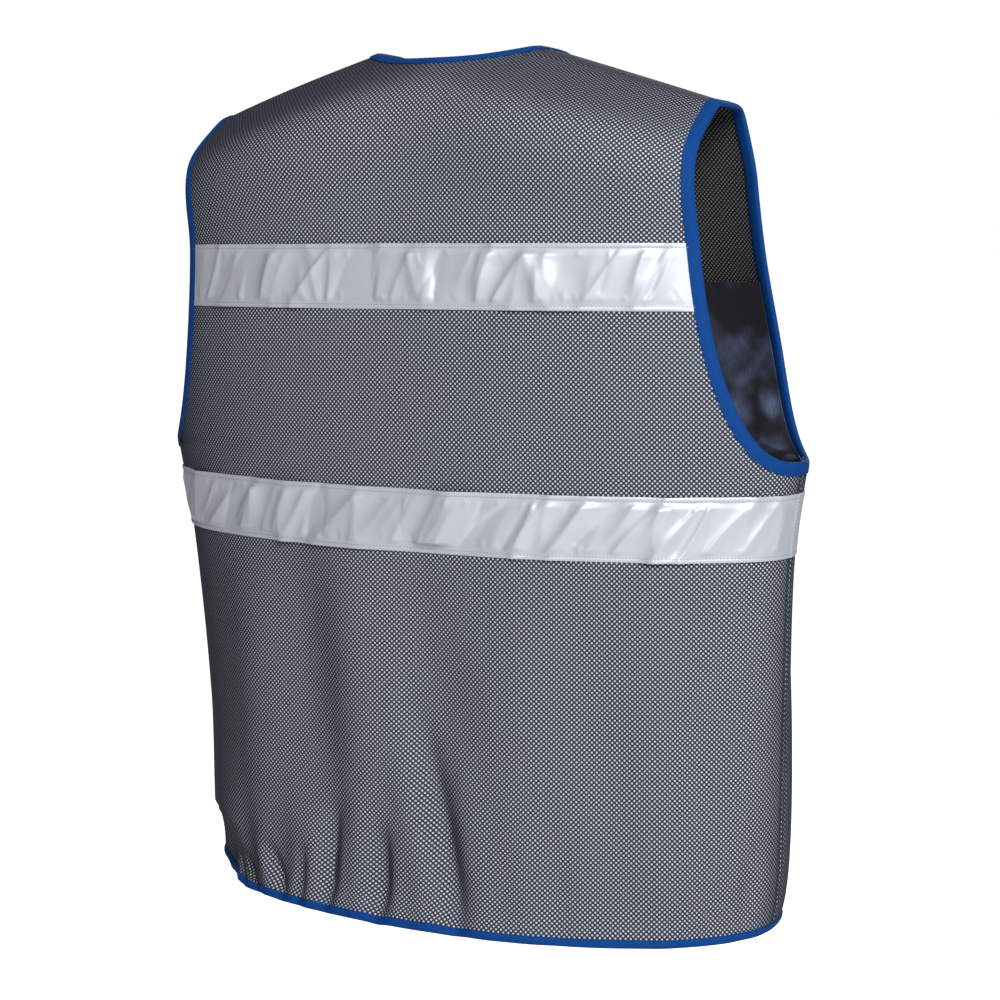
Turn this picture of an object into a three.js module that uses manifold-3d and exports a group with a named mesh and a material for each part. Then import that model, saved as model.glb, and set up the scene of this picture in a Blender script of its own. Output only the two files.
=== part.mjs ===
import * as THREE from 'three';
import Module from 'manifold-3d';

// A sleeveless cooling vest of spacer mesh, zipped at the front, in the form it has when worn.
// The front faces -Y, the wearer's left is +X and up is +Z. The origin lies midway between the
// neck ends of the two shoulder seams. Lengths are in millimetres, angles in degrees.

// Body
const ARMHOLE_DEPTH = 318;
const SIDE_LENGTH = 368;
const CHEST_HALF_WIDTH = 281;
const BACK_DEPTH = 105;
const FRONT_DEPTH = 121;
const CHEST_FORWARD = 2;
const BODY_FORWARD = 9;
const HEM_ASIDE = 11;
const BODY_SQUARENESS = 2.0;

// Yoke, armholes and neck
const YOKE_SQUARENESS = 3.12;
const SHOULDER_SQUARENESS = 8.5;
const NECK_SQUARENESS = 3.4;
const NECK_SPREAD = 210;
const SHOULDER_HALF_WIDTH = 221;
const YOKE_SPARE = 22;
const SHOULDER_SLOPE = 0.323;
const SHOULDER_ROUNDING = 18;
const NECK_HALF_WIDTH = 71;
const BACK_NECK_DROP = 10;
const FRONT_NECK_DROP = 112;
const BACK_NECK_CURVE = 2.4;
const FRONT_NECK_CURVE = 1.6;
const BACK_ACROSS_HALF = 221;
const FRONT_ACROSS_HALF = 226;
const BACK_SCOOP = 0.8;
const FRONT_SCOOP = 0.8;

// Cloth, tapes, bindings and zip
const MESH_THICKNESS = 2.5;
const TAPE_WIDTH = 50;
const TAPE_THICKNESS = 1.0;
const CHEST_TAPE_BELOW_NECK = 40;
const LINING_OVER_TAPE = 21;
const WAIST_TAPE_BELOW_ARMHOLES = 22.5;
const LINING_THICKNESS = 1.0;
const LINING_SLACK = 2.4;
const BINDING_WIDTH = 9.5;
const BINDING_THICKNESS = 1.2;
const ZIP_HALF_WIDTH = 9;
const ZIP_THICKNESS = 2.2;
const GAP = 0.3;

// Gathers that the hem binding draws up
const GATHER_DEPTH = 9;
const GATHER_SPREAD = 6;
const GATHER_PEAK = 30;

// Level sections of the body, from the hem up to the armholes' lowest point
const BODY = [
  { rise: 0.00, width: 0.902, depth: 1.21, forward: 0.5 },
  { rise: 0.05, width: 0.912, depth: 1.20, forward: 0.9 },
  { rise: 0.13, width: 0.919, depth: 1.19, forward: 1.1 },
  { rise: 0.40, width: 0.927, depth: 1.13, forward: 1.4 },
  { rise: 0.80, width: 0.958, depth: 1.01, forward: 0.3 },
  { rise: 1.00, width: 1.000, depth: 1.00, forward: 0.0 },
];

// How far the yoke stands from the shoulder seam's plane, as shares of its depth at the armholes
const YOKE = [
  { rise: 0.00, back: 1.00, front: 1.00 },
  { rise: 0.30, back: 1.02, front: 1.07 },
  { rise: 0.60, back: 1.02, front: 0.80 },
  { rise: 0.85, back: 1.07, front: 0.60 },
  { rise: 1.00, back: 0.42, front: 0.50 },
];

// Gathers at the hem: place round the body from the middle of the back towards the wearer's left
const GATHERS = [
  { turn: -63, spread: 1.2, depth: 0.30, peak: 0.8 },
  { turn: -38, spread: 1.4, depth: 0.30, peak: 0.9 },
  { turn: -6, spread: 1.1, depth: 1.00, peak: 2.2 },
  { turn: 7, spread: 0.9, depth: 0.80, peak: 1.2 },
  { turn: 18, spread: 0.9, depth: 0.75, peak: 1.5 },
  { turn: 32, spread: 0.8, depth: 0.60, peak: 0.8 },
  { turn: 44, spread: 0.7, depth: 0.50, peak: 0.7 },
  { turn: 68, spread: 1.1, depth: 0.50, peak: 1.0 },
  { turn: 116, spread: 1.3, depth: 0.60, peak: 1.2 },
  { turn: 146, spread: 1.2, depth: 0.50, peak: 1.0 },
  { turn: -116, spread: 1.3, depth: 0.60, peak: 1.2 },
  { turn: -146, spread: 1.2, depth: 0.50, peak: 1.0 },
];

// Rows of the cloth's grid, as shares of each stretch's height
const HEM_ROWS = [0, 0.06, 0.13, 0.22, 0.36, 0.56, 0.78];
const SIDE_ROWS = [0.05, 0.19, 0.4, 0.7];
const SHOULDER_ROWS = [0.2, 0.38, 0.54, 0.68, 0.8, 0.9, 1];
const NECK_COLUMNS = 8;
const SHOULDER_COLUMNS = 7;

const BACK = 1;
const FRONT = -1;
const LEFT = 1;
const RIGHT = -1;
const QUARTER = Math.PI / 2;

const wasm = await Module();
wasm.setup();

function smoothStep(share) {
  const t = THREE.MathUtils.clamp(share, 0, 1);
  return t * t * (3 - 2 * t);
}

// A smooth curve through one column of a table, read at any rise
function along(table, column, rise) {
  const last = table.length - 1;
  let k = 0;
  while (k < last - 1 && rise > table[k + 1].rise) k += 1;
  const slope = (row) => {
    const below = table[Math.max(row - 1, 0)];
    const above = table[Math.min(row + 1, last)];
    return (above[column] - below[column]) / (above.rise - below.rise);
  };
  const span = table[k + 1].rise - table[k].rise;
  const t = THREE.MathUtils.clamp((rise - table[k].rise) / span, 0, 1);
  const start = table[k][column] * (2 * t ** 3 - 3 * t ** 2 + 1);
  const end = table[k + 1][column] * (3 * t ** 2 - 2 * t ** 3);
  const leaving = slope(k) * span * (t ** 3 - 2 * t ** 2 + t);
  const arriving = slope(k + 1) * span * (t ** 3 - t ** 2);
  return start + end + leaving + arriving;
}

// A quarter turn with squared-off corners: across grows from 0 to 1 while out falls from 1 to 0
function rounded(angle, squareness) {
  const across = Math.sin(angle);
  const out = Math.cos(angle);
  const sum = Math.abs(across) ** squareness + Math.abs(out) ** squareness;
  const reach = sum ** (-1 / squareness);
  return { across: across * reach, out: out * reach };
}

function angleAcross(share, squareness) {
  const across = THREE.MathUtils.clamp(share, 0, 1);
  const out = (1 - across ** squareness) ** (1 / squareness);
  return Math.atan2(across, out);
}

// Height of the shoulder line above the origin's level
function shoulderHeight(x) {
  const reach = (distance) => Math.hypot(distance, SHOULDER_ROUNDING);
  return -SHOULDER_SLOPE * (reach(x) - reach(NECK_HALF_WIDTH));
}

// The yoke is round in section at the neck and squarer out on the shoulders
function shoulderSquareness(x) {
  const share = smoothStep(Math.abs(x) / NECK_SPREAD);
  return NECK_SQUARENESS + (SHOULDER_SQUARENESS - NECK_SQUARENESS) * share;
}

function yokeHalfWidth(climb) {
  const yoke = SHOULDER_HALF_WIDTH + YOKE_SPARE;
  return THREE.MathUtils.lerp(CHEST_HALF_WIDTH, yoke, smoothStep(climb));
}

function yokeSquareness(climb) {
  return THREE.MathUtils.lerp(BODY_SQUARENESS, YOKE_SQUARENESS, THREE.MathUtils.clamp(climb, 0, 1));
}

function bodyHalfWidth(level) {
  return CHEST_HALF_WIDTH * along(BODY, 'width', 1 + level);
}

// How far the hem's gathers push the cloth in, at a place round the body and a height above the hem
function gather(turn, height) {
  let inwards = 0;
  for (const fold of GATHERS) {
    const away = (turn - fold.turn) / (GATHER_SPREAD * fold.spread);
    const swell = height / (GATHER_PEAK * fold.peak);
    inwards += GATHER_DEPTH * fold.depth * Math.exp(-(away ** 2)) * swell * Math.exp(1 - swell);
  }
  return inwards;
}

// A point of the cloth's middle. The level runs from -1 at the hem to 0 at the armholes' lowest
// point and 1 at the shoulder line. The angle is 0 in the middle of the back or front.
function skin(side, angle, level) {
  const climb = Math.max(level, 0);
  const drop = Math.min(level, 0);
  const shape = rounded(angle, yokeSquareness(climb));
  const reach = side === BACK ? BACK_DEPTH : FRONT_DEPTH;
  let halfWidth = yokeHalfWidth(climb);
  let depth = reach;
  let centre = -CHEST_FORWARD;
  if (drop < 0) {
    halfWidth = bodyHalfWidth(drop);
    depth = reach * along(BODY, 'depth', 1 + drop);
    centre -= BODY_FORWARD * along(BODY, 'forward', 1 + drop);
    const degrees = THREE.MathUtils.radToDeg(angle);
    const turn = side === BACK ? degrees : Math.sign(degrees || 1) * 180 - degrees;
    const pull = 1 - gather(turn, (1 + drop) * SIDE_LENGTH) / CHEST_HALF_WIDTH;
    halfWidth *= pull;
    depth *= 1 - 2 * (1 - pull);
  }
  const x = halfWidth * shape.across;
  let y = centre + side * depth * shape.out;
  let z = -ARMHOLE_DEPTH + drop * SIDE_LENGTH;
  if (climb > 0) {
    const arch = rounded(climb * QUARTER, shoulderSquareness(x));
    const stand = along(YOKE, side === BACK ? 'back' : 'front', arch.across);
    y *= arch.out * stand;
    z += (shoulderHeight(x) + ARMHOLE_DEPTH) * arch.across;
  }
  const aside = (HEM_ASIDE * z) / (ARMHOLE_DEPTH + SIDE_LENGTH);
  return new THREE.Vector3(x + aside, y + (side * GAP) / 2, z);
}

// Directions of the cloth at a point: across the body, up it, and out of it
function directions(side, angle, level) {
  const step = 1e-3;
  const across = skin(side, angle + step, level).sub(skin(side, angle - step, level));
  const up = skin(side, angle, level + step).sub(skin(side, angle, level - step));
  across.divideScalar(2 * step);
  up.divideScalar(2 * step);
  const out = across.clone().cross(up).normalize().multiplyScalar(-side);
  return { across, up, out };
}

// Angle at which the cloth ends: at the side seam below the armhole, and along the armhole above
function edgeAngle(side, level) {
  if (level <= 0) return QUARTER;
  const height = rounded(level * QUARTER, SHOULDER_SQUARENESS).across;
  const scoop = side === BACK ? BACK_SCOOP : FRONT_SCOOP;
  const narrow = side === BACK ? BACK_ACROSS_HALF : FRONT_ACROSS_HALF;
  let half;
  if (height < scoop) {
    const sweep = Math.acos(1 - height / scoop);
    half = CHEST_HALF_WIDTH - (CHEST_HALF_WIDTH - narrow) * Math.sin(sweep);
  } else {
    const share = smoothStep((height - scoop) / (1 - scoop));
    half = THREE.MathUtils.lerp(narrow, SHOULDER_HALF_WIDTH, share);
  }
  return angleAcross(half / yokeHalfWidth(level), yokeSquareness(level));
}

function zipAngle(level) {
  const halfWidth = level > 0 ? yokeHalfWidth(level) : bodyHalfWidth(level);
  return angleAcross((ZIP_HALF_WIDTH + GAP) / halfWidth, yokeSquareness(Math.max(level, 0)));
}

// Angle of a column. The back's columns run from -1 to 1 and a front's from 0 at the zip to 1.
function columnAngle(panel, column, level) {
  const edge = edgeAngle(panel.side, level);
  if (panel.side === BACK) return column * edge;
  return panel.hand * THREE.MathUtils.lerp(zipAngle(level), edge, column);
}

function onPanel(panel, column, level) {
  return skin(panel.side, columnAngle(panel, column, level), level);
}

function bisect(low, high, isLow) {
  let [from, to] = [low, high];
  for (let round = 0; round < 40; round += 1) {
    const middle = (from + to) / 2;
    if (isLow(middle)) from = middle;
    else to = middle;
  }
  return (from + to) / 2;
}

function levelAtHeight(panel, column, z) {
  if (z <= -ARMHOLE_DEPTH) return (z + ARMHOLE_DEPTH) / SIDE_LENGTH;
  return bisect(0, 1, (level) => onPanel(panel, column, level).z < z);
}

// Where a column ends: on the shoulder seam, or on the neckline between the two seams
function topLevel(panel, column) {
  const drop = panel.side === BACK ? BACK_NECK_DROP : FRONT_NECK_DROP;
  const curve = panel.side === BACK ? BACK_NECK_CURVE : FRONT_NECK_CURVE;
  return bisect(0, 1, (level) => {
    const angle = columnAngle(panel, column, level);
    const x = yokeHalfWidth(level) * rounded(angle, yokeSquareness(level)).across;
    const share = Math.abs(x) / NECK_HALF_WIDTH;
    return share >= 1 || skin(panel.side, angle, level).z < -drop * (1 - share ** curve);
  });
}

function spread(from, to, count) {
  return Array.from({ length: count + 1 }, (_, k) => from + ((to - from) * k) / count);
}

// Columns of a panel, one of them at each corner between neckline and shoulder seam
function columnsOf(panel) {
  const corner = angleAcross(NECK_HALF_WIDTH / yokeHalfWidth(1), yokeSquareness(1));
  const edge = edgeAngle(panel.side, 1);
  if (panel.side === FRONT) {
    const zip = zipAngle(1);
    const share = (corner - zip) / (edge - zip);
    return [...spread(0, share, NECK_COLUMNS / 2), ...spread(share, 1, SHOULDER_COLUMNS).slice(1)];
  }
  const share = corner / edge;
  const right = spread(-1, -share, SHOULDER_COLUMNS);
  const middle = spread(-share, share, NECK_COLUMNS).slice(1, -1);
  return [...right, ...middle, ...spread(share, 1, SHOULDER_COLUMNS)];
}

const waistTop = -ARMHOLE_DEPTH - WAIST_TAPE_BELOW_ARMHOLES;
const waistBottom = waistTop - TAPE_WIDTH;
const chestTop = -FRONT_NECK_DROP - CHEST_TAPE_BELOW_NECK;
const chestBottom = chestTop - TAPE_WIDTH;
const liningTop = chestBottom + LINING_OVER_TAPE;
const hem = -ARMHOLE_DEPTH - SIDE_LENGTH;
const liningHem = hem + BINDING_WIDTH + LINING_SLACK;

// Heights of the grid's rows up to the chest tape, with the tapes' edges among them
const levelRows = [
  hem,
  ...HEM_ROWS.map((share) => THREE.MathUtils.lerp(liningHem, waistBottom, share)),
  waistBottom,
  waistTop,
  -ARMHOLE_DEPTH,
  ...SIDE_ROWS.map((share) => THREE.MathUtils.lerp(-ARMHOLE_DEPTH, chestBottom, share)),
  chestBottom,
  liningTop,
  chestTop,
];

function node(panel, column, level) {
  const angle = columnAngle(panel, column, level);
  const out = directions(panel.side, angle, level).out;
  return { side: panel.side, angle, level, at: skin(panel.side, angle, level), out };
}

// The grid of a panel's cloth: rows from the hem to the top, each a list of nodes
function gridOf(panel) {
  const columns = columnsOf(panel);
  const rows = levelRows.map((z) =>
    columns.map((column) => node(panel, column, levelAtHeight(panel, column, z))),
  );
  for (const share of SHOULDER_ROWS) {
    rows.push(
      columns.map((column) => {
        const low = levelAtHeight(panel, column, chestTop);
        return node(panel, column, THREE.MathUtils.lerp(low, topLevel(panel, column), share));
      }),
    );
  }
  return rows;
}

function rowsBetween(grid, low, high) {
  return grid.slice(levelRows.indexOf(low), levelRows.indexOf(high) + 1);
}

// A closed mesh with its faces turned outwards
function closed(points, triangles) {
  let volume = 0;
  for (const [a, b, c] of triangles) {
    volume += points[a].dot(points[b].clone().cross(points[c]));
  }
  const faces = volume > 0 ? triangles : triangles.map(([a, b, c]) => [a, c, b]);
  return { points, faces };
}

function quad(a, b, c, d) {
  return [
    [a, b, c],
    [a, c, d],
  ];
}

// A wall of cloth on a grid, between two heights above the cloth's middle
function wall(grid, low, high) {
  const rows = grid.length;
  const columns = grid[0].length;
  const points = [];
  for (const height of [low, high]) {
    for (const row of grid) {
      for (const place of row) points.push(place.at.clone().addScaledVector(place.out, height));
    }
  }
  const index = (layer, row, column) => (layer * rows + row) * columns + column;
  const triangles = [];
  for (let r = 0; r < rows - 1; r += 1) {
    for (let c = 0; c < columns - 1; c += 1) {
      triangles.push(
        ...quad(index(0, r, c), index(0, r, c + 1), index(0, r + 1, c + 1), index(0, r + 1, c)),
        ...quad(index(1, r, c), index(1, r + 1, c), index(1, r + 1, c + 1), index(1, r, c + 1)),
      );
    }
  }
  const rim = [];
  for (let c = 0; c < columns - 1; c += 1) rim.push([0, c]);
  for (let r = 0; r < rows - 1; r += 1) rim.push([r, columns - 1]);
  for (let c = columns - 1; c > 0; c -= 1) rim.push([rows - 1, c]);
  for (let r = rows - 1; r > 0; r -= 1) rim.push([r, 0]);
  rim.forEach(([row, column], k) => {
    const [nextRow, nextColumn] = rim[(k + 1) % rim.length];
    triangles.push(
      ...quad(
        index(0, row, column),
        index(1, row, column),
        index(1, nextRow, nextColumn),
        index(0, nextRow, nextColumn),
      ),
    );
  });
  return closed(points, triangles);
}

// Stations along a free edge: the edge, a point a binding's width in from it, and the way out there
function stationsAlong(nodes, hand, isLoop) {
  return nodes.map((place, k) => {
    const last = nodes.length - 1;
    const before = nodes[isLoop ? (k + last) % nodes.length : Math.max(k - 1, 0)].at;
    const after = nodes[isLoop ? (k + 1) % nodes.length : Math.min(k + 1, last)].at;
    const tangent = after.clone().sub(before).normalize();
    const inward = place.out.clone().cross(tangent).normalize().multiplyScalar(hand);
    if (place.inward) inward.copy(place.inward);
    const { across, up } = directions(place.side, place.angle, place.level);
    const [aa, ab, bb] = [across.dot(across), across.dot(up), up.dot(up)];
    const [a, b] = [across.dot(inward), up.dot(inward)];
    const scale = BINDING_WIDTH / (aa * bb - ab * ab);
    const turn = (a * bb - b * ab) * scale;
    const climb = (b * aa - a * ab) * scale;
    const reached = skin(place.side, place.angle + turn, place.level + climb).distanceTo(place.at);
    const share = BINDING_WIDTH / reached;
    const angle = place.angle + turn * share;
    const level = place.level + climb * share;
    return {
      edge: place.at,
      out: place.out,
      inward,
      inset: skin(place.side, angle, level),
      insetOut: directions(place.side, angle, level).out,
    };
  });
}

// A bar with a flat section swept along a free edge, from one distance in from the edge to another
function bar(stations, from, to, height, isLoop) {
  const corners = [
    [from, -height],
    [to, -height],
    [to, height],
    [from, height],
  ];
  const points = stations.flatMap((station) =>
    corners.map(([distance, offset]) => {
      const share = Math.max(distance, 0) / BINDING_WIDTH;
      const out = station.out.clone().lerp(station.insetOut, Math.min(share, 1)).normalize();
      const point = station.edge.clone().lerp(station.inset, share);
      if (distance < 0) point.addScaledVector(station.inward, distance);
      return point.addScaledVector(out, offset);
    }),
  );
  const count = stations.length;
  const triangles = [];
  for (let k = 0; k < (isLoop ? count : count - 1); k += 1) {
    const here = k * 4;
    const next = ((k + 1) % count) * 4;
    for (let side = 0; side < 4; side += 1) {
      const other = (side + 1) % 4;
      triangles.push(...quad(here + side, here + other, next + other, next + side));
    }
  }
  if (!isLoop) {
    const end = (count - 1) * 4;
    triangles.push(...quad(3, 2, 1, 0), ...quad(end, end + 1, end + 2, end + 3));
  }
  return closed(points, triangles);
}

function solid({ points, faces }) {
  const vertProperties = new Float32Array(points.flatMap((point) => point.toArray()));
  const triVerts = new Uint32Array(faces.flat());
  return new wasm.Manifold(new wasm.Mesh({ numProp: 3, vertProperties, triVerts }));
}

function cut(shape, ...tools) {
  return tools.reduce((left, tool) => left.subtract(tool), solid(shape));
}

function geometryOf(shape) {
  const geometry = new THREE.BufferGeometry();
  const isCut = shape instanceof wasm.Manifold;
  const mesh = isCut ? shape.getMesh() : null;
  const positions = isCut ? mesh.vertProperties : shape.points.flatMap((p) => p.toArray());
  const indices = isCut ? mesh.triVerts : shape.faces.flat();
  geometry.setAttribute('position', new THREE.BufferAttribute(new Float32Array(positions), 3));
  geometry.setIndex([...indices]);
  geometry.computeVertexNormals();
  return geometry;
}

const finishes = {
  spacerMesh: { color: 0x3a3f4b, roughness: 0.8, metalness: 0.0 },
  reflectiveTape: { color: 0xc3c8d2, roughness: 0.38, metalness: 0.35 },
  edgeBinding: { color: 0x12509c, roughness: 0.7, metalness: 0.0 },
  lining: { color: 0x3c4763, roughness: 0.6, metalness: 0.0 },
  zip: { color: 0x1d1f24, roughness: 0.5, metalness: 0.0 },
};

function piece(name, shape, finish) {
  const mesh = new THREE.Mesh(geometryOf(shape), new THREE.MeshStandardMaterial(finishes[finish]));
  mesh.name = name;
  return mesh;
}

// Panels
const hands = [
  { name: 'left', hand: LEFT },
  { name: 'right', hand: RIGHT },
];
const backGrid = gridOf({ side: BACK });
const frontGrids = Object.fromEntries(
  hands.map(({ name, hand }) => [name, gridOf({ side: FRONT, hand })]),
);
const halfMesh = MESH_THICKNESS / 2;
const allGrids = [backGrid, frontGrids.left, frontGrids.right];

// A grid with the gap added on all its sides
function widened(grid) {
  const beyond = (edge, inner) => {
    const at = edge.at.clone().add(edge.at.clone().sub(inner.at).setLength(GAP));
    return { ...edge, at };
  };
  const wide = grid.map((row) => [beyond(row[0], row[1]), ...row, beyond(row.at(-1), row.at(-2))]);
  const low = wide[0].map((edge, k) => beyond(edge, wide[1][k]));
  const high = wide.at(-1).map((edge, k) => beyond(edge, wide.at(-2)[k]));
  return [low, ...wide, high];
}

const clearOfPanels = allGrids.map((grid) =>
  solid(wall(widened(grid), -halfMesh - GAP, halfMesh + GAP)),
);

const panels = new THREE.Group();
panels.add(piece('back_panel', wall(backGrid, -halfMesh, halfMesh), 'spacerMesh'));
for (const { name } of hands) {
  const shape = wall(frontGrids[name], -halfMesh, halfMesh);
  panels.add(piece(`front_panel_${name}`, shape, 'spacerMesh'));
}

// Bindings, each a strip folded over a free edge and sewn through
const column = (grid, index) => grid.map((row) => row.at(index));
const aboveArmpit = (nodes) => nodes.filter((place) => place.level >= 0);
const downwards = (place, next) => ({ ...place, inward: next.at.clone().sub(place.at).normalize() });

const bindingOutside = halfMesh + GAP + BINDING_THICKNESS;

// A binding: the strip, less the room for the cloth that it folds over
function binding(stations, isLoop) {
  const strip = bar(stations, -GAP - BINDING_THICKNESS, BINDING_WIDTH, bindingOutside, isLoop);
  return cut(strip, ...clearOfPanels);
}

// The space that a binding takes, with the gap that a tape or a lining keeps to it
function spaceOf(stations, isLoop) {
  const room = halfMesh + BINDING_THICKNESS + LINING_SLACK + LINING_THICKNESS + TAPE_THICKNESS;
  return solid(bar(stations, -room - BINDING_WIDTH, BINDING_WIDTH + GAP, room, isLoop));
}

const armholes = Object.fromEntries(
  hands.map(({ name, hand }) => {
    const back = aboveArmpit(column(backGrid, hand === LEFT ? -1 : 0)).reverse();
    const front = aboveArmpit(column(frontGrids[name], -1)).slice(1, -1);
    return [name, stationsAlong([...back, ...front], hand, true)];
  }),
);

const corners = NECK_COLUMNS / 2;
const neckEdge = (name) => {
  const grid = frontGrids[name];
  const edge = grid.at(-1).slice(0, corners);
  edge[0] = downwards(edge[0], grid.at(-2)[0]);
  return edge;
};
const backNeck = backGrid.at(-1).slice(SHOULDER_COLUMNS, SHOULDER_COLUMNS + NECK_COLUMNS + 1);
const neckStations = stationsAlong(
  [...neckEdge('left'), ...backNeck.reverse(), ...neckEdge('right').reverse()],
  RIGHT,
  false,
);

// Stations at the hem lie on the cloth's own grid: each runs from the lowest row towards the next
function hemStation(grid, index) {
  const [edge, above] = [grid[0].at(index), grid[1].at(index)];
  const inward = above.at.clone().sub(edge.at);
  const share = BINDING_WIDTH / inward.length();
  return {
    edge: edge.at,
    out: edge.out,
    inward: inward.clone().normalize(),
    inset: edge.at.clone().lerp(above.at, share),
    insetOut: edge.out.clone().lerp(above.out, share).normalize(),
  };
}

const hemOf = (grid) => grid[0].map((place, index) => hemStation(grid, index));
const hemStations = [
  ...hemOf(frontGrids.left).slice(0, -1),
  ...hemOf(backGrid).reverse(),
  ...hemOf(frontGrids.right).reverse().slice(1),
];

const bindings = new THREE.Group();
bindings.add(piece('neck_binding', binding(neckStations, false), 'edgeBinding'));
bindings.add(piece('hem_binding', binding(hemStations, false), 'edgeBinding'));
for (const { name } of hands) {
  const shape = binding(armholes[name], true);
  bindings.add(piece(`armhole_binding_${name}`, shape, 'edgeBinding'));
}

// Reflective tapes, sewn flat on the outside
const tapeLow = halfMesh + GAP;
const tapeHigh = tapeLow + TAPE_THICKNESS;
const armholeSpaces = Object.fromEntries(
  hands.map(({ name }) => [name, spaceOf(armholes[name], true)]),
);
const tapeWall = (grid, bottom, top) => wall(rowsBetween(grid, bottom, top), tapeLow, tapeHigh);

const tapes = new THREE.Group();
const chestBack = tapeWall(backGrid, chestBottom, chestTop);
const chestBackCut = cut(chestBack, armholeSpaces.left, armholeSpaces.right);
tapes.add(piece('chest_tape_back', chestBackCut, 'reflectiveTape'));
tapes.add(piece('waist_tape_back', tapeWall(backGrid, waistBottom, waistTop), 'reflectiveTape'));
for (const { name } of hands) {
  const chest = cut(tapeWall(frontGrids[name], chestBottom, chestTop), armholeSpaces[name]);
  const waist = tapeWall(frontGrids[name], waistBottom, waistTop);
  tapes.add(piece(`chest_tape_front_${name}`, chest, 'reflectiveTape'));
  tapes.add(piece(`waist_tape_front_${name}`, waist, 'reflectiveTape'));
}

// Front linings, sewn to the inside from the chest tape's lower edge down to the hem binding
const liningHigh = -halfMesh - LINING_SLACK;
const liningLow = liningHigh - LINING_THICKNESS;

// Every second column of a grid, with its outermost ones
function coarser(grid) {
  const isKept = (item, k, list) => k % 2 === 0 || k === list.length - 1;
  return grid.map((row) => row.filter(isKept));
}

const linings = new THREE.Group();
for (const { name } of hands) {
  const rows = coarser(rowsBetween(frontGrids[name], liningHem, liningTop));
  const shape = cut(wall(rows, liningLow, liningHigh), armholeSpaces[name]);
  linings.add(piece(`front_lining_${name}`, shape, 'lining'));
}

// The zip between the two fronts, from the hem to the neckline
const zipGrid = frontGrids.left.map((row, k) => {
  const levels = [row[0].level, frontGrids.right[k][0].level];
  return [LEFT, RIGHT].map((hand, end) => {
    const level = levels[end];
    const share = ZIP_HALF_WIDTH / (ZIP_HALF_WIDTH + GAP);
    return node({ side: FRONT, hand: hand * share }, 0, level);
  });
});

const vest = new THREE.Group();
const zip = piece('front_zip', wall(zipGrid, -ZIP_THICKNESS / 2, ZIP_THICKNESS / 2), 'zip');
vest.add(panels, bindings, tapes, linings, zip);

export default vest;
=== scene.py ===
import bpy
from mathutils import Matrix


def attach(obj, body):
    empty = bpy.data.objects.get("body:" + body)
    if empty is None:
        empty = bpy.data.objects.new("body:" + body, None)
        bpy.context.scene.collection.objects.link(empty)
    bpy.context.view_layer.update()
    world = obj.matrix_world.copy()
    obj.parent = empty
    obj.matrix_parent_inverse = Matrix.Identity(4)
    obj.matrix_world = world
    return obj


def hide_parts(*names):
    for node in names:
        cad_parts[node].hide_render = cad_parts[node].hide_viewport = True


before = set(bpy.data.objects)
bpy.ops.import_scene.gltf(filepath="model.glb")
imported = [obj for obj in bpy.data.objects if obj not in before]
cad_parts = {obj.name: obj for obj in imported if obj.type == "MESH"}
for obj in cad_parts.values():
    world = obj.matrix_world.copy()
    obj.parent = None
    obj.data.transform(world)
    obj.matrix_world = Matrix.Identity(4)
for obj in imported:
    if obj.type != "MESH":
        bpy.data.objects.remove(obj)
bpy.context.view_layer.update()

import math
import bpy
import numpy as np
from mathutils import Vector


def scene_object(name, data):
    made = bpy.data.objects.new(name, data)
    bpy.context.scene.collection.objects.link(made)
    return made


# Camera: behind the vest and to the wearer's right, at chest height, a little above the middle.
# It is about 1.7 m away, with a long lens, and looks slightly down.
CAMERA_TURN = math.radians(206.12)
CAMERA_RISE = math.radians(6.73)
CAMERA_DISTANCE = 1.690
CAMERA_ASIDE = 0.0268
CAMERA_HEIGHT = -0.3607
CAMERA_LENS = 73.96

aim = Vector((CAMERA_ASIDE * math.cos(CAMERA_TURN), CAMERA_ASIDE * math.sin(CAMERA_TURN), CAMERA_HEIGHT))
away = Vector((
    math.sin(CAMERA_TURN) * math.cos(CAMERA_RISE),
    -math.cos(CAMERA_TURN) * math.cos(CAMERA_RISE),
    math.sin(CAMERA_RISE),
))
camera_data = bpy.data.cameras.new("camera")
camera_data.lens = CAMERA_LENS
camera_data.sensor_fit = "HORIZONTAL"
camera_data.sensor_width = 36.0
camera_data.clip_start = 0.05
camera = scene_object("camera", camera_data)
camera.location = aim + away * CAMERA_DISTANCE
camera.rotation_euler = away.to_track_quat("Z", "Y").to_euler()
bpy.context.scene.camera = camera


# Panels: one back and two fronts of dark spacer mesh, a knit 2.5 mm thick whose holes show its
# pale core. They are cut to the body's form and sewn together at the shoulders and sides.
ARMHOLE_DEPTH = 0.318
SIDE_LENGTH = 0.368
CHEST_HALF_WIDTH = 0.281
DEPTH = {1: 0.105, -1: 0.121}
CHEST_FORWARD = 0.002
BODY_FORWARD = 0.009
HEM_ASIDE = 0.011
BODY_SQUARENESS = 2.0
YOKE_SQUARENESS = 3.12
SHOULDER_SQUARENESS = 8.5
NECK_SQUARENESS = 3.4
NECK_SPREAD = 0.210
SHOULDER_HALF_WIDTH = 0.221
YOKE_HALF_WIDTH = 0.243
SHOULDER_SLOPE = 0.323
SHOULDER_ROUNDING = 0.018
NECK_HALF_WIDTH = 0.071
NECK_DROP = {1: 0.010, -1: 0.112}
NECK_CURVE = {1: 2.4, -1: 1.6}
ACROSS_HALF = {1: 0.221, -1: 0.226}
SCOOP = {1: 0.8, -1: 0.8}
ZIP_HALF_WIDTH = 0.009
SEAM_GAP = 0.0003
HALF_MESH = 0.00125
BACK, FRONT = 1, -1
QUARTER = math.pi / 2

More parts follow.
